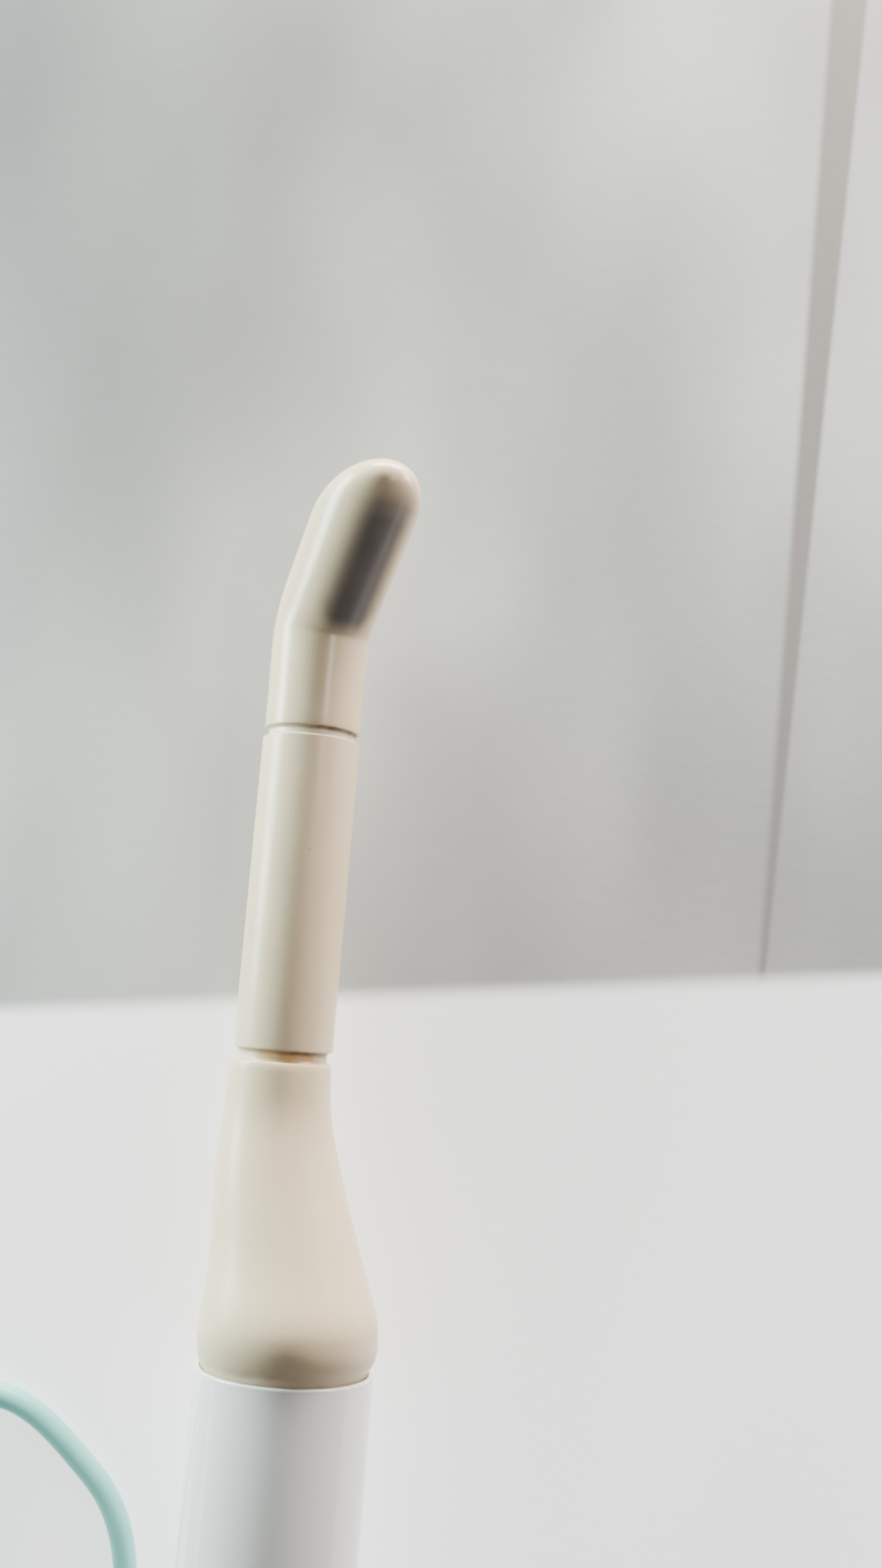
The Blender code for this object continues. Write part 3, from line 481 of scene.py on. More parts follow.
TOWARDS = Vector((math.sin(BEND_TURN), 0, math.cos(BEND_TURN)))
ACROSS = Vector((math.cos(BEND_TURN), 0, -math.sin(BEND_TURN)))
FORWARD = Vector((0, 1, 0))
HALF_TAN = math.tan(TIP_BEND / 2)
HEAD_AXIS = FORWARD * math.cos(TIP_BEND) + TOWARDS * math.sin(TIP_BEND)
HEAD_FACE = TOWARDS * math.cos(TIP_BEND) - FORWARD * math.sin(TIP_BEND)
TIP_ORIGIN = Vector((SHAFT_LINE.x, TIP_RIM_Y, SHAFT_LINE.z))
CORNER = TIP_ORIGIN + FORWARD * TIP_CORNER


def bent_point(radius, around, before=None, after=None, share=None):
    """A point of the bent tube's surface, given by its height above the rim, its distance
    along the head, or its share (-1 to 1) of the way through the bend."""
    side = radius * math.cos(around)
    away = ((1 - math.cos(around)) / 2) ** 1.3
    fillet = CREASE_RADIUS + (OUTER_RADIUS - CREASE_RADIUS) * away
    reach = fillet * HALF_TAN
    corner = TIP_CORNER - side * HALF_TAN
    if before is not None:
        along = before - corner
    elif after is not None:
        along = after + side * HALF_TAN
    elif share < 0:
        along = -share * (BEND_FROM - corner)
    else:
        along = share * (BEND_TO + side * HALF_TAN)
    if along <= -reach:
        flat = Vector((corner + along, side))
    elif along >= reach:
        flat = Vector((corner, side)) + along * Vector((math.cos(TIP_BEND),
                                                       math.sin(TIP_BEND)))
    else:
        angle = TIP_BEND * (along + reach) / (2 * reach)
        flat = Vector((corner - reach + fillet * math.sin(angle),
                       side + fillet * (1 - math.cos(angle))))
    return (TIP_ORIGIN + FORWARD * flat.x + TOWARDS * flat.y
            + ACROSS * radius * math.sin(around))


def bent_row(radius, sides=128, **where):
    return [bent_point(radius, 2 * math.pi * i / sides, **where) for i in range(sides)]


def bent_rows(straight, head, end_length, half, end_steps):
    spread = [(i / half) ** 1.5 for i in range(1, half + 1)]
    shares = [-s for s in reversed(spread)] + [0.0] + spread
    rows = [bent_row(straight + (head - straight) * (s + 1) / 2, share=s) for s in shares]
    for i in range(end_steps):
        a = math.pi / 2 * i / end_steps
        rows.append(bent_row(head * math.cos(a), after=HEAD_LENGTH + end_length * math.sin(a)))
    return rows


# The dark window: its middle along the head, its half sizes, its turn from the bend's plane and
# the two colours of the lens that shows through
WINDOW_MIDDLE = 0.0215
WINDOW_HALF_LENGTH = 0.0165
WINDOW_HALF_ANGLE = math.radians(32)
WINDOW_TURN = math.radians(2)
LENS_COLOURS = ((0.128, 0.108, 0.101), (0.142, 0.122, 0.115))


def window_shade(point):
    """How dark the lens under the skin makes a point of the tip, 0 to 1."""
    away = point - CORNER
    along = away.dot(HEAD_AXIS)
    around = math.atan2(away.dot(ACROSS), away.dot(HEAD_FACE)) - WINDOW_TURN
    across = smooth_step(0.40, 1.60, abs(around / WINDOW_HALF_ANGLE))
    reach = (along - WINDOW_MIDDLE) / WINDOW_HALF_LENGTH
    near = smooth_step(-1.16, -0.80, reach - 0.22 * across)
    far = 1 - smooth_step(0.76, 1.32, reach + 0.20 * across)
    return (1 - across) * near * far


BEIGE_COLOUR = (0.68, 0.545, 0.365)


def beige(name, **changes):
    """The probe's skin: a satin beige plastic, a little translucent, mottled with age."""
    values = dict(vary=0.022, patch=0.016, grain=0.0009, relief=0.000012, specular=0.45)
    values.update(changes)
    look = surface(name, BEIGE_COLOUR, values.pop("rough", 0.34), **values)
    tree = look.node_tree
    warm = times(tree, noise(tree, 0.035, detail=2.0), 0.35)
    overlay(look, warm, (BEIGE_COLOUR[0], BEIGE_COLOUR[1] * 0.955, BEIGE_COLOUR[2] * 0.90))
    return soften(look, 0.12, 0.0018)


def make_tip():
    seat = CORE_RADIUS + GAP
    cavity = HEAD_RADIUS - TIP_WALL
    rim = rounded([(seat, 0, 0.0002), (TIP_RADIUS, 0, 0.0005), (TIP_RADIUS, 0.003, 0)], 5,
                  closed=False)
    outer = [bent_row(p.x, before=p.y) for p in rim]
    outer += bent_rows(TIP_RADIUS, HEAD_RADIUS, HEAD_END, 40, 22)
    inner = [bent_row(seat, before=SEAT_DEPTH), bent_row(cavity - 0.0008, before=SEAT_DEPTH)]
    inner += bent_rows(cavity - 0.0006, cavity, HEAD_END - TIP_WALL, 8, 8)
    rows = list(reversed(inner)) + outer
    poles = [CORNER + HEAD_AXIS * (HEAD_LENGTH + HEAD_END - TIP_WALL),
             CORNER + HEAD_AXIS * (HEAD_LENGTH + HEAD_END)]
    mesh = rows_mesh("tip_skin", rows, poles=poles)
    paint(mesh, "window", window_shade)
    look = beige("tip_plastic", rough=0.27, rough_vary=0.0, relief=0.000003)
    tree = look.node_tree
    dark = blend_colour(tree, noise(tree, 0.010, detail=1.0), *LENS_COLOURS)
    overlay(look, attribute(tree, "window"), dark)
    show("tip_skin", mesh, look, ["tip_shell"])


# ---------------------------------------------------------------- shaft

# Height above the seam, degrees from the top, radius, soft edge and strength of each stain
SLEEVE_MARKS = ((0.1092, 14.3, 0.00022, 0.0002, 0.45), (0.0895, -48.7, 0.0006, 0.0022, 0.20),
                (0.0949, -45.6, 0.0004, 0.0016, 0.16), (0.0768, 62.0, 0.0002, 0.0003, 0.30))
MARK_COLOUR = (0.30, 0.25, 0.20)
# the second colour is dirt with painted shadow under the grooves' upper edges
YELLOWED, DIRT_AND_SHADOW = (0.62, 0.37, 0.13), (0.10, 0.055, 0.025)


def make_shaft():
    low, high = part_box("shaft_sleeve")
    origin = Vector((SHAFT_LINE.x, 0, SHAFT_LINE.z))
    bore = CORE_RADIUS + GAP
    edge = 0.0005
    skin = turned_mesh("sleeve_skin", [
        (SHAFT_RADIUS, high.y, edge), (SHAFT_RADIUS, low.y, edge), (bore, low.y, 0.0002),
        (bore, high.y, 0.0002)], origin, sides=128)
    look = beige("sleeve_plastic")
    tree = look.node_tree
    for height, degrees, radius, soft, share in SLEEVE_MARKS:
        a = math.radians(degrees)
        centre = origin + Vector((SHAFT_RADIUS * math.sin(a), SEAM_Y + height,
                                  SHAFT_RADIUS * math.cos(a)))
        mark = spot(tree, centre, radius, soft)
        overlay(look, times(tree, mark, share), MARK_COLOUR)
    show("sleeve_skin", skin, look, ["shaft_sleeve"])
    make_core(origin, low.y, high.y)


def groove_dirt_and_shadow(point, edge, origin):
    """Old adhesive and dirt with painted shadow just under an edge of a groove, most of it towards
    +X, the side painted as shaded.
    """
    depth = edge - point.y
    side = 0.45 + 0.55 * smooth_step(-0.006, 0.008, point.x - origin.x)
    return side * (1 - smooth_step(0.0003, 0.0010, depth)) if depth > -0.0004 else 0.0


def make_core(origin, sleeve_low, sleeve_high):
    """The inner tube, with a bead of adhesive along the grooves where it shows, and dirt with
    painted shadow under the grooves' upper edges.
    """
    low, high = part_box("core_tube")
    neck_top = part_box("neck_shell")[1].y
    bead = 0.00035
    line = [(CORE_RADIUS, high.y, 0.0002)]
    for upper, lower in ((TIP_RIM_Y, sleeve_high), (sleeve_low, neck_top)):
        line += [(CORE_RADIUS, upper + 0.0004, 0), (CORE_RADIUS + bead, upper, 0),
                 (CORE_RADIUS, upper - 0.0006, 0.0004), (CORE_RADIUS, upper - 0.0008, 0),
                 (CORE_RADIUS, upper - 0.0011, 0), (CORE_RADIUS, lower + 0.0005, 0.0004),
                 (CORE_RADIUS + bead, lower, 0), (CORE_RADIUS, lower - 0.0004, 0)]
    bore = 0.0076
    line += [(CORE_RADIUS, low.y, 0.0002), (bore, low.y, 0.0002), (bore, high.y, 0.0002)]
    mesh = turned_mesh("core_skin", line, origin, sides=96, steps=4)
    look = surface("core_plastic", (0.74, 0.66, 0.50), 0.30, vary=0.05, patch=0.006,
                   grain=0.0006, relief=0.00003)
    paint(mesh, "yellowed", lambda p: smooth_step(-0.016, 0.004, p.x - origin.x)
          * smooth_step(neck_top + 0.02, neck_top, p.y))
    # dirt plus painted shadow under each groove's upper edge, painted darker towards +X as the
    # shaded side
    paint(mesh, "dirt_and_shadow", lambda p: max(groove_dirt_and_shadow(p, upper - 0.0001, origin)
                                       for upper in (TIP_RIM_Y, sleeve_low)))
    tree = look.node_tree
    overlay(look, times(tree, attribute(tree, "yellowed"), noise(tree, 0.003, 0.55, 1.0)),
            YELLOWED)
    # lays the dirt and painted shadow under the grooves' upper edges
    overlay(look, times(tree, attribute(tree, "dirt_and_shadow"), noise(tree, 0.0025, 0.65, 1.0)), DIRT_AND_SHADOW)
    show("core_skin", mesh, soften(look, 0.15, 0.0015), ["core_tube"])


# ---------------------------------------------------------------- neck

# (height above the seam, radius, centre along X, centre along Z), from the shaft's axis
NECK_OUTER = [(0.0628, 0.0109, -0.0004, 0.0), (0.0623, 0.0113, -0.0004, 0.0),
              (0.0510, 0.0120, 0.0001, 0.0002), (0.0390, 0.0139, 0.0016, 0.0014),
              (0.0230, 0.0162, 0.0049, 0.0042), (0.0120, 0.0185, 0.0068, 0.0060),
              (0.0070, 0.0191, 0.0070, 0.0061), (0.0035, 0.0190, 0.0071, 0.0057),
              (0.0013, 0.0185, 0.0069, 0.0052), (0.0003, 0.0179, 0.0068, 0.0050)]
NECK_INNER = [(0.0003, 0.0162, 0.0068, 0.0050), (0.0120, 0.0162, 0.0068, 0.0058),
              (0.0230, 0.0140, 0.0048, 0.0042), (0.0390, 0.0116, 0.0016, 0.0014),
              (0.0480, 0.0104, 0.0002, 0.0002), (0.0503, 0.0101, 0.0, 0.0),
              (0.0628, 0.0101, 0.0, 0.0)]


def neck_row(station, sides=128):
    height, radius, side, rise = station
    origin = (SHAFT_LINE.x + side, 0, SHAFT_LINE.z + rise)
    return circle(radius, sides, SEAM_Y + height, origin, "Y")


def make_neck():
    outer = curve_through(NECK_OUTER[1:], 0.0012)
    lip = curve_through([NECK_OUTER[0], (0.06272, 0.01112, -0.0004, 0.0), NECK_OUTER[1]], 0.0003)
    foot = [(-0.0004, 0.01775, 0.0068, 0.0050), (-0.0010, 0.0174, 0.0068, 0.0050),
            (-0.0010, 0.0164, 0.0068, 0.0050)]
    rows = [neck_row(s) for s in lip[:-1] + outer + foot + NECK_INNER]
    mesh = rows_mesh("neck_skin", rows, closed=True)
    look = beige("neck_plastic", rough=0.37, relief=0.000014)
    show("neck_skin", mesh, look, ["neck_shell"])


# ---------------------------------------------------------------- handle

def make_handle():
    low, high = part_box("handle_shell")
    origin = Vector((HANDLE_LINE.x, 0, HANDLE_LINE.z))
    wall, seat = 0.0024, 0.0179
    bore = HANDLE_RADIUS - wall
    mesh = turned_mesh("handle_skin", [
        (HANDLE_RADIUS, high.y, 0.0028), (HANDLE_RADIUS, low.y, 0.0008), (bore, low.y, 0.0003),
        (bore, high.y - 0.0012, 0), (seat, high.y - 0.0012, 0.0001), (seat, high.y, 0.0002)],
        origin, sides=144, steps=8)
    look = surface("handle_plastic", (0.80, 0.81, 0.80), 0.10, vary=0.010, patch=0.05,
                   grain=0.0022, relief=0.000006, coat=0.6, rough_vary=0.025)
    show("handle_skin", mesh, look, ["handle_shell"])
    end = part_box("handle_end_cap")[0].y
    face = low.y - GAP
    hole, spigot = 0.0052, bore - GAP
    mesh = turned_mesh("end_cap_skin", [
        (spigot, low.y + 0.006, 0.0003), (spigot, face, 0), (HANDLE_RADIUS, face, 0.0004),
        (HANDLE_RADIUS, end, 0.0082), (hole + 0.0028, end, 0.0010),
        (hole + 0.0022, end + 0.0008, 0.0006), (hole, end + 0.0008, 0.0003),
        (hole, end + 0.003, 0), (spigot - 0.002, end + 0.003, 0),
        (spigot - 0.002, low.y + 0.006, 0.0003)], origin, sides=128, steps=8)
    show("end_cap_skin", mesh, look, ["handle_end_cap"])


# ---------------------------------------------------------------- cable

CABLE_RADIUS = 0.0026
CASE_WALL = 0.0022        # the connector's wall, which the cable's boot passes through

# The same route as the frame's cable, from inside the handle to the coil
RUN_ROUTE = [
    (0.0007, -0.1320, 0.0190), (0.0007, -0.1640, 0.0190), (0.0007, -0.1960, 0.0190),
    (0.0002, -0.2050, 0.0180), (-0.0040, -0.2170, 0.0138), (-0.0140, -0.2255, 0.0090),
    (-0.0275, -0.2275, 0.0052), (-0.0395, -0.2220, 0.0032), (-0.0472, -0.2110, 0.0029),
    (-0.0492, -0.1960, 0.0029), (-0.0460, -0.1740, 0.0029), (-0.0405, -0.1500, 0.0029),
    (-0.0350, -0.1270, 0.0029), (-0.0312, -0.1070, 0.0029), (-0.0305, -0.0905, 0.0029),
    (-0.0326, -0.0790, 0.0029), (-0.0370, -0.0706, 0.0029), (-0.0430, -0.0646, 0.0029),
    (-0.0486, -0.0594, 0.0029), (-0.0536, -0.0556, 0.0029), (-0.0582, -0.0531, 0.0029),
    (-0.0630, -0.0519, 0.0029), (-0.0710, -0.0509, 0.0032), (-0.0810, -0.0499, 0.0040),
]
LEAD_ROUTE = [
    (-0.1307, -0.1105, 0.0158), (-0.1298, -0.1145, 0.0161), (-0.1296, -0.1180, 0.01615),
    (-0.1296, -0.1300, 0.01615), (-0.1296, -0.1430, 0.01615), (-0.1296, -0.1560, 0.01615),
]
TURN_PITCH = 0.0053
COIL_CENTRE = centre_of("cable_coil")
COIL_RADIUS = radius_of("cable_coil") - 1.5 * TURN_PITCH
COIL_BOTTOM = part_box("cable_coil")[0].z
# Each turn's place in the coil's bundle: columns outwards, layers upwards
TURN_PLACES = [(1, -1), (0, -1), (-1, -1), (-1, 0), (-1, 1), (0, 1), (0, 0), (1, 0), (1, 1)]
TURN_SHIFT = 330          # degrees from one change of place to the next
SHIFT_LENGTH = 120        # degrees that a change of place takes
COIL_FROM, COIL_TO = 90, 90 + 2970       # where the winding starts and ends, in degrees


def coil_place(degrees):
    """The column and layer at an angle along the winding."""
    column, layer = TURN_PLACES[0]
    for i, (there, here) in enumerate(zip(TURN_PLACES[1:], TURN_PLACES)):
        middle = COIL_FROM + (i + 1) * TURN_SHIFT
        done = smooth_step(middle - SHIFT_LENGTH / 2, middle + SHIFT_LENGTH / 2, degrees)
        column += done * (there[0] - here[0])
        layer += done * (there[1] - here[1])
    return column, layer


def coil_points(step=4):
    """The winding, lying on the surface except where the tie passes under it."""
    middle = COIL_BOTTOM + 1.5 * TURN_PITCH
    sag = 0.0011
    made = []
    for i in range((COIL_TO - COIL_FROM) // step + 1):
        degrees = COIL_FROM + i * step
        column, layer = coil_place(degrees)
        a = math.radians(degrees)
        from_tie = abs((degrees - 270 + 180) % 360 - 180)
        ends = smooth_step(0, 80, degrees - COIL_FROM) * smooth_step(0, 80, COIL_TO - degrees)
        drop = sag * smooth_step(12, 70, from_tie) * ends
        reach = COIL_RADIUS + column * TURN_PITCH
        made.append(Vector((COIL_CENTRE.x + reach * math.cos(a),
                            COIL_CENTRE.y + reach * math.sin(a),
                            middle + layer * TURN_PITCH - drop)))
    return made


def smooth_line(points, rounds):
    """Evens out the bends of a line, and keeps its ends."""
    for _ in range(rounds):
        points = ([points[0]] + [(a + 2 * b + c) / 4 for a, b, c in
                                 zip(points, points[1:], points[2:])] + [points[-1]])
    return points


def make_cable():
    winding = coil_points()
    run = RUN_ROUTE[1:]
    knots = [Vector(p) for p in run] + winding[2:-2:2] + [Vector(p) for p in LEAD_ROUTE]
    line = smooth_line(curve_through(knots, 0.0018), 6)
    data = bpy.data.curves.new("cable", "CURVE")
    data.dimensions = "3D"
    spline = data.splines.new("POLY")
    spline.points.add(len(line) - 1)
    for point, where in zip(spline.points, line):
        point.co = (*where, 1)
    data.bevel_depth = CABLE_RADIUS
    data.bevel_resolution = 6
    data.use_fill_caps = True
    look = surface("cable_jacket", (0.25, 0.61, 0.57), 0.38, vary=0.03, patch=0.012,
                   grain=0.0010, relief=0.00002, specular=0.45)
    cable = show("cable", data, soften(look, 0.08, 0.001),
                 ["cable_run", "cable_coil", "cable_lead"])
    length = sum((b - a).length for a, b in zip(line, line[1:]))
    return cable, length


# ---------------------------------------------------------------- the pieces on the cable

def boot_corners(length, thick, thin, flange, wall, ribs):
    """A strain relief: a flange behind the wall, then a ribbed taper to its thin end."""
    bore = CABLE_RADIUS + 0.0002
    neck = 0.0049
    line = [(flange, wall + 0.0018, 0.0003), (flange, wall + GAP, 0.0002),
            (neck, wall + GAP, 0), (neck, -GAP, 0), (thick, -GAP, 0.0006)]
    start, pitch = 0.0055, (length - 0.0075) / ribs
    for i in range(ribs):
        high = start + i * pitch
        radius = thick + (thin - thick) * high / length
        dip = radius - 0.0012
        line += [(radius, -high, 0.0004), (dip, -high - pitch * 0.08, 0.0003),
                 (dip, -high - pitch * 0.40, 0.0003), (radius, -high - pitch * 0.48, 0.0004)]
    return line + [(thin, -length + 0.0004, 0.0005), (thin - 0.0004, -length, 0.0004),
                   (bore, -length, 0.0003), (bore, wall + 0.0018, 0.0003)]


def make_boots():
    look = surface("boot_rubber", (0.30, 0.335, 0.33), 0.55, vary=0.05, patch=0.008,
                   grain=0.0005, relief=0.00003)
    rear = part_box("handle_end_cap")[0].y
    corners = boot_corners(0.038, 0.0072, 0.0040, 0.0068, 0.003, 7)
    boot = turned_mesh("handle_boot", corners, (HANDLE_LINE.x, rear, HANDLE_LINE.z), sides=72,
                       steps=4)
    first = show("handle_boot", boot, look, ["strain_relief"])
    entry = centre_of("connector_strain_relief")
    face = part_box("connector_upper_case")[1].y
    corners = [(r, -h, f)
               for r, h, f in boot_corners(0.026, 0.0062, 0.0040, 0.0056, CASE_WALL, 4)]
    boot = turned_mesh("connector_boot", corners, (entry.x, face, entry.z), sides=72, steps=4)
    second = show("connector_boot", boot, look, ["connector_strain_relief"])
    return [first, second]


def make_tie():
    """A hook-and-loop strap round the coil's bundle, its free end lapped over on top."""
    low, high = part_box("coil_tie")
    middle = (low + high) / 2
    thick = 0.0009
    half_depth = (high.y - low.y) / 2 - thick / 2
    half_height = (high.z - low.z) / 2 - thick / 2
    corner = 0.0042
    loop = rounded([(half_depth, half_height, corner), (-half_depth, half_height, corner),
                    (-half_depth, -half_height, corner), (half_depth, -half_height, corner)], 8)
    path = []
    for here, there in zip(loop, loop[1:] + loop[:1]):
        count = max(1, round((there - here).length / 0.001))
        path += [here.lerp(there, k / count) for k in range(count)]
    top = min(range(len(path)), key=lambda i: (path[i] - Vector((0.003, half_height))).length)
    path = path[top:] + path[:top]
    lap = path + path[:11]
    rows = []
    for i, spot_on in enumerate(lap):
        ahead, behind = lap[min(i + 1, len(lap) - 1)], lap[max(i - 1, 0)]
        way = (ahead - behind).normalized()
        out = Vector((way.y, -way.x))
        lift = thick * 1.05 * smooth_step(len(path) - 4, len(path) + 2, i)
        width = (high.x - low.x) / 2 * (1 - 0.25 * smooth_step(len(lap) - 3, len(lap), i))
        row = []
        for side, up in rounded([(-1, -1, 0.3), (1, -1, 0.3), (1, 1, 0.3), (-1, 1, 0.3)], 2):
            flat = spot_on + out * (lift + up * thick / 2)
            row.append(Vector((middle.x + side * width, middle.y + flat.x, middle.z + flat.y)))
        rows.append(row)
    look = surface("strap_fabric", (0.020, 0.021, 0.024), 0.85, vary=0.25, patch=0.0012,
                   grain=0.0004, relief=0.00012, sheen=0.4)
    return show("cable_strap", rows_mesh("cable_strap", rows), look,
                ["coil_tie"])


# ---------------------------------------------------------------- connector

def slab_mesh(name, rows, centre, relief=None):
    made = []
    for outline, height in rows:
        row = []
        for point in outline:
            inset = relief(point, height) if relief else 0.0
            reach = 1 - inset / max(abs(point.x), 0.001)
            row.append(Vector((centre.x + point.x * reach, centre.y + point.y, height)))
        made.append(row)
    return rows_mesh(name, made)


def cut_mesh(mesh, cutters, operation="DIFFERENCE"):
    """A mesh with others cut away from it, or joined to it."""
    scene = bpy.context.scene
    made = bpy.data.objects.new("cut", mesh)
    scene.collection.objects.link(made)
    tools = []
    for i, cutter in enumerate(cutters):
        tool = bpy.data.objects.new(f"cutter_{i}", cutter)
        scene.collection.objects.link(tool)
        change = made.modifiers.new("cut", "BOOLEAN")
        change.operation = operation
        change.object = tool
        tools.append(tool)
    bpy.context.view_layer.update()
    ready = made.evaluated_get(bpy.context.evaluated_depsgraph_get())
    result = bpy.data.meshes.new_from_object(ready)
    result.name = mesh.name + "_cut"
    result.shade_smooth()
    result.set_sharp_from_angle(angle=SHARP_EDGE)
    for each in (made, *tools):
        bpy.data.objects.remove(each)
    return result


def drill_mesh(name, stretches, origin, axis="Z"):
    """A stepped round bar of (radius, from, to) stretches along an axis, each after the last."""
    line = [(0, stretches[0][1], 0)]
    for radius, start, end in stretches:
        line += [(radius, start, 0), (radius, end, 0)]
    return turned_mesh(name, [*line, (0, stretches[-1][2], 0)], origin, axis, 48, closed=False)


def box_mesh(name, size, centre, turn=0):
    """A box turned about the upright by some degrees."""
    bm = bmesh.new()
    bmesh.ops.create_cube(bm, size=1.0)
    bmesh.ops.scale(bm, vec=size, verts=bm.verts)
    bmesh.ops.rotate(bm, verts=bm.verts, matrix=Matrix.Rotation(math.radians(turn), 3, "Z"))
    bmesh.ops.translate(bm, vec=centre, verts=bm.verts)
    return finish_mesh(bm, name)


CASE_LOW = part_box("connector_lower_case")[0].z
CASE_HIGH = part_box("connector_upper_case")[1].z
CASE_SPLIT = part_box("connector_lower_case")[1].z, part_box("connector_upper_case")[0].z
CASE_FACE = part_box("connector_upper_case")[1].y     # where the cable comes in
CASE_WIDTH, CASE_LENGTH = (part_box("connector_upper_case")[1]
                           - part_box("connector_upper_case")[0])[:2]
CASE_CORNER = 0.006
BOSS_RADIUS = 0.0036
GRIP_LOW, GRIP_HIGH = 0.0185, 0.0300     # heights of the band of ribs on the case
GRIP_REACH = 0.0225       # half the band's length
RIB_PITCH, RIB_DEPTH = 0.0040, 0.0007
PLUG_MIDDLE = (PLUG_CENTRE.x, PLUG_CENTRE.y, 0)
PAST = 0.001              # how far a cutter reaches past the face it opens


def grip_inset(point, height):
    """How deep the grooves between the ribs are at a point of the case's outline."""
    if abs(point.x) < CASE_WIDTH / 2 - 0.0004 or abs(point.y) > GRIP_REACH:
        return 0.0
    wave = abs((point.y / RIB_PITCH) % 1.0 - 0.5) * 2
    inside = smooth_step(GRIP_LOW, GRIP_LOW + 0.001, height)
    inside *= 1 - smooth_step(GRIP_HIGH - 0.001, GRIP_HIGH, height)
    return RIB_DEPTH * (1 - smooth_step(0.25, 0.75, wave)) * inside


def case_slabs():
    """The case's upper and lower halves before they are hollowed."""
    low = CASE_SPLIT[1]
    outline = (CASE_WIDTH, CASE_LENGTH, CASE_CORNER)
    rows = slab_rows(*outline, low, CASE_HIGH, 0.0004, 0.0022)
    sides = [(plan_outline(*outline), low + 0.0006 + i * 0.0008) for i in range(18)]
    upper = slab_mesh("case_upper", rows[:6] + sides + rows[6:], PLUG_CENTRE, grip_inset)
    rows = slab_rows(*outline, CASE_LOW, CASE_SPLIT[0], 0.0010, 0.0004)
    return upper, slab_mesh("case_lower", rows, PLUG_CENTRE)


def case_holes(screw_places):
    """Holes through both halves: the cable's entry, with room behind it for the boot's flange,
    and the screws' countersunk holes."""
    entry = centre_of("connector_strain_relief")
    pocket = 0.0024
    sink = CASE_HIGH - 0.0025
    holes = [drill_mesh("entry", [(0.0060, -CASE_WALL - pocket, -CASE_WALL),
                                  (0.0051, -CASE_WALL, PAST)], (entry.x, CASE_FACE, entry.z), "Y")]
    for at in screw_places:
        holes.append(drill_mesh("screw_hole", [(0.0016, CASE_LOW + 0.0020, sink),
                                               (0.0030, sink, CASE_HIGH + PAST)],
                                (at.x, at.y, 0)))
    return holes


def make_case():
    """Two moulded halves with gripping ribs along the sides and countersunk screws."""
    look = surface("case_plastic_look", (0.60, 0.615, 0.60), 0.46, vary=0.02, patch=0.02,
                   grain=0.0007, relief=0.00006, specular=0.4)
    upper, lower = case_slabs()
    inside = (CASE_WIDTH - 2 * CASE_WALL, CASE_LENGTH - 2 * CASE_WALL, 0.004)
    upper_space = slab_rows(*inside, CASE_SPLIT[1] - PAST, CASE_HIGH - CASE_WALL, 0.0001, 0.0010)
    lower_space = slab_rows(*inside, CASE_LOW + CASE_WALL, CASE_SPLIT[0] + PAST, 0.0010, 0.0001)
    screw_places = [centre_of(f"case_screw_{i}") for i in range(1, 5)]
    holes = case_holes(screw_places)
    panel = slab_rows(0.036, 0.0110, 0.002, CASE_HIGH - 0.0003, CASE_HIGH + PAST, 0.0001, 0.0001,
                      2)
    upper_cuts = [drill_mesh("bush_hole", [(0.0068, CASE_HIGH - 0.006, CASE_HIGH + PAST)],
                             PLUG_MIDDLE),
                  slab_mesh("panel", panel, PLUG_CENTRE + Vector((0, -0.0300, 0)))]
    lower_cuts = [drill_mesh("lock_hole", [(0.0060, CASE_LOW - PAST, CASE_LOW + 0.004)],
                             PLUG_MIDDLE)]
    upper_boss = (CASE_SPLIT[1], CASE_HIGH - 0.0008)
    lower_boss = (CASE_LOW + 0.0008, CASE_SPLIT[0])
    pieces = []
    for mesh, space, boss, cuts, node in (
            (upper, upper_space, upper_boss, upper_cuts, "connector_upper_case"),
            (lower, lower_space, lower_boss, lower_cuts, "connector_lower_case")):
        name = mesh.name
        bosses = [drill_mesh("boss", [(BOSS_RADIUS, *boss)], (at.x, at.y, 0))
                  for at in screw_places]
        hollow = cut_mesh(mesh, [slab_mesh("space", space, PLUG_CENTRE)])
        case_half = cut_mesh(cut_mesh(hollow, bosses, "UNION"), holes + cuts)
        pieces.append(show(name, case_half, look, [node]))
    return pieces


def make_screws():
    """Countersunk screws with a cross recess."""
    look = surface("screw_steel", (0.60, 0.60, 0.61), 0.28, metal=1.0, vary=0.05, patch=0.002,
                   grain=0.0003, relief=0.00001)
    pieces = []
    for i in range(1, 5):
        node = f"case_screw_{i}"
        low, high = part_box(node)
        at = (low + high) / 2
        mesh = turned_mesh(node + "_skin", [
            (0, high.z, 0), (0.0026, high.z, 0.0006), (0.0026, high.z - 0.0018, 0.0002),
            (0.0013, high.z - 0.0018, 0), (0.0013, low.z, 0.0003), (0, low.z, 0)],
            (at.x, at.y, 0), "Z", 48, closed=False)
        turn = 25 + 40 * i
        slots = [box_mesh(f"slot_{i}_{k}", (0.0032, 0.0006, 0.0018), (at.x, at.y, high.z),
                          turn + 90 * k) for k in range(2)]
        pieces.append(show(f"case_screw_head_{i}", cut_mesh(mesh, slots), look,
                           [node]))
    return pieces


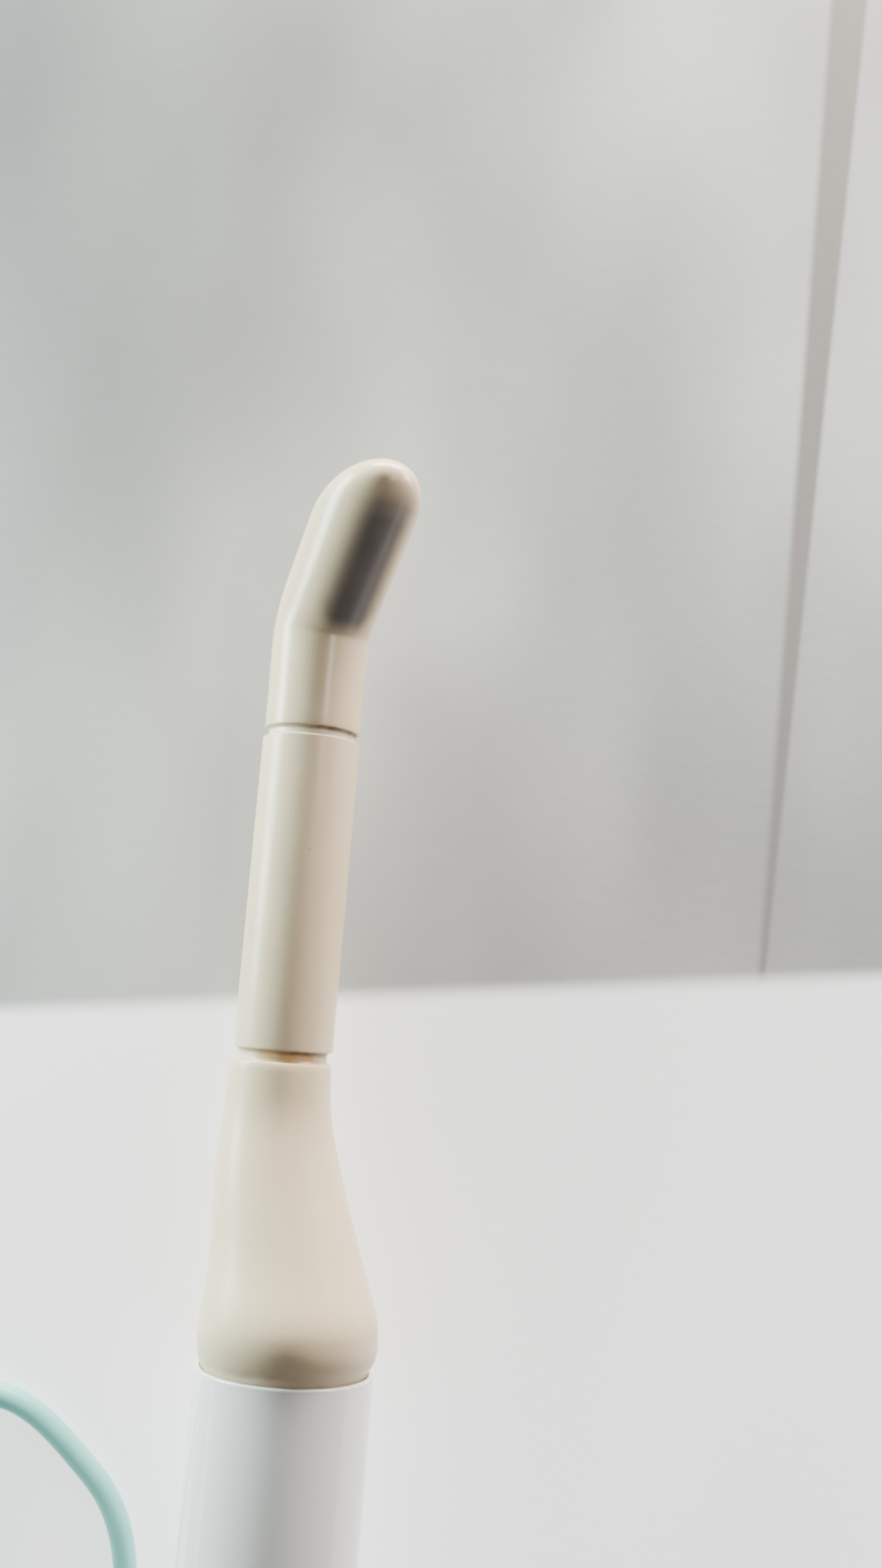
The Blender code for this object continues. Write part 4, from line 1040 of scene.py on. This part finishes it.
def make_lever():
    """A wing lever on a round hub, with a pointer line along its top."""
    low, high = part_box("lock_lever")
    origin = Vector(PLUG_MIDDLE)
    hub = turned_mesh("lever_hub", [
        (0, low.z + 0.0076, 0), (0.0098, low.z + 0.0076, 0.0022), (0.0100, low.z, 0.0003),
        (0, low.z, 0)], origin, "Z", 96, closed=False)
    rows = []
    for outline, height in slab_rows(0.0100, high.y - low.y, 0.0047, low.z, high.z, 0.0004,
                                     0.0026, 7):
        share = (height - low.z) / (high.z - low.z)
        row = []
        for point in outline:
            waist = 1 - 0.22 * math.exp(-(abs(point.y) / 0.0105 - 1.35) ** 2 / 0.18) * share
            row.append(Vector((origin.x + point.x * waist, origin.y + point.y, height)))
        rows.append(row)
    wing = rows_mesh("lever_wing", rows)
    pointer = box_mesh("pointer", (0.0012, 0.0120, 0.0008),
                       (origin.x, high.y - 0.0090, high.z))
    bore = drill_mesh("lever_bore", [(0.0043, low.z - PAST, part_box("lock_shaft")[1].z + GAP)],
                      origin)
    mesh = cut_mesh(cut_mesh(hub, [wing], "UNION"), [pointer, bore])
    look = surface("lever_plastic", (0.78, 0.79, 0.785), 0.28, vary=0.015, patch=0.012,
                   grain=0.0008, relief=0.00002)
    return show("lever_wing", mesh, look, ["lock_lever"], "lock")


def make_pins():
    """Rows of gold contacts in the mating face, inside its rim."""
    bm = bmesh.new()
    low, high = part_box("pin_block")
    bands, lanes = (-0.0148, 0.0148), (-0.0012, 0.0012)
    count, spacing = 20, 0.0026
    for band in bands:
        for lane in lanes:
            for i in range(count):
                at = (PLUG_CENTRE.x + band + lane,
                      PLUG_CENTRE.y + (i - (count - 1) / 2) * spacing, low.z - 0.0004)
                bmesh.ops.create_cone(bm, cap_ends=True, segments=10, radius1=0.00028,
                                      radius2=0.00045, depth=0.0012,
                                      matrix=Matrix.Translation(at))
    look = surface("contact_gold", (0.83, 0.62, 0.26), 0.25, metal=1.0, vary=0.05,
                   patch=0.002, grain=0.0003, relief=0.000005)
    return show("contact_pins", finish_mesh(bm, "contact_pins"), look)


# ---------------------------------------------------------------- the frame's own solids

CARRIED = {
    "dark_lens": dict(colour=(0.05, 0.045, 0.045), rough=0.45, vary=0.10, patch=0.004),
    "matching_epoxy": dict(colour=(0.26, 0.28, 0.30), rough=0.50, vary=0.08, patch=0.003),
    "piezo_ceramic": dict(colour=(0.52, 0.47, 0.36), rough=0.60, vary=0.08, patch=0.002),
    "backing_epoxy": dict(colour=(0.09, 0.09, 0.10), rough=0.70, vary=0.15, patch=0.003),
    "polyimide_copper": dict(colour=(0.55, 0.27, 0.07), rough=0.32, vary=0.10, patch=0.003),
    "circuit_board": dict(colour=(0.03, 0.17, 0.07), rough=0.42, vary=0.15, patch=0.004),
    "black_socket": dict(colour=(0.025, 0.025, 0.027), rough=0.48, vary=0.12, patch=0.004),
    "seal_rubber": dict(colour=(0.16, 0.14, 0.11), rough=0.65, vary=0.10, patch=0.004),
    "stainless_steel": dict(colour=(0.58, 0.58, 0.59), rough=0.28, metal=1.0, vary=0.05,
                            patch=0.003),
    "aluminium_sheet": dict(colour=(0.68, 0.69, 0.70), rough=0.36, metal=1.0, vary=0.05,
                            patch=0.006),
    "nickel_brass": dict(colour=(0.68, 0.62, 0.47), rough=0.30, metal=1.0, vary=0.06,
                         patch=0.004),
}


def dress_frame():
    """Gives every solid that keeps its own shape the material of its slot."""
    looks = {slot: surface(slot + "_look", **values) for slot, values in CARRIED.items()}
    for part in frame["record"]["subparts"]:
        look = looks.get(part["material_slot"])
        if look:
            node = frame["nodes"][part["node"]]
            node.data.materials.clear()
            node.data.materials.append(look)


# ---------------------------------------------------------------- the whole object

make_camera()
make_floor()
make_light()
dress_frame()
make_tip()
make_shaft()
make_neck()
make_handle()
cable, cable_length = make_cable()
boots = make_boots()
strap = make_tie()
case = make_case()
screws = make_screws()
lever = make_lever()
pins = make_pins()
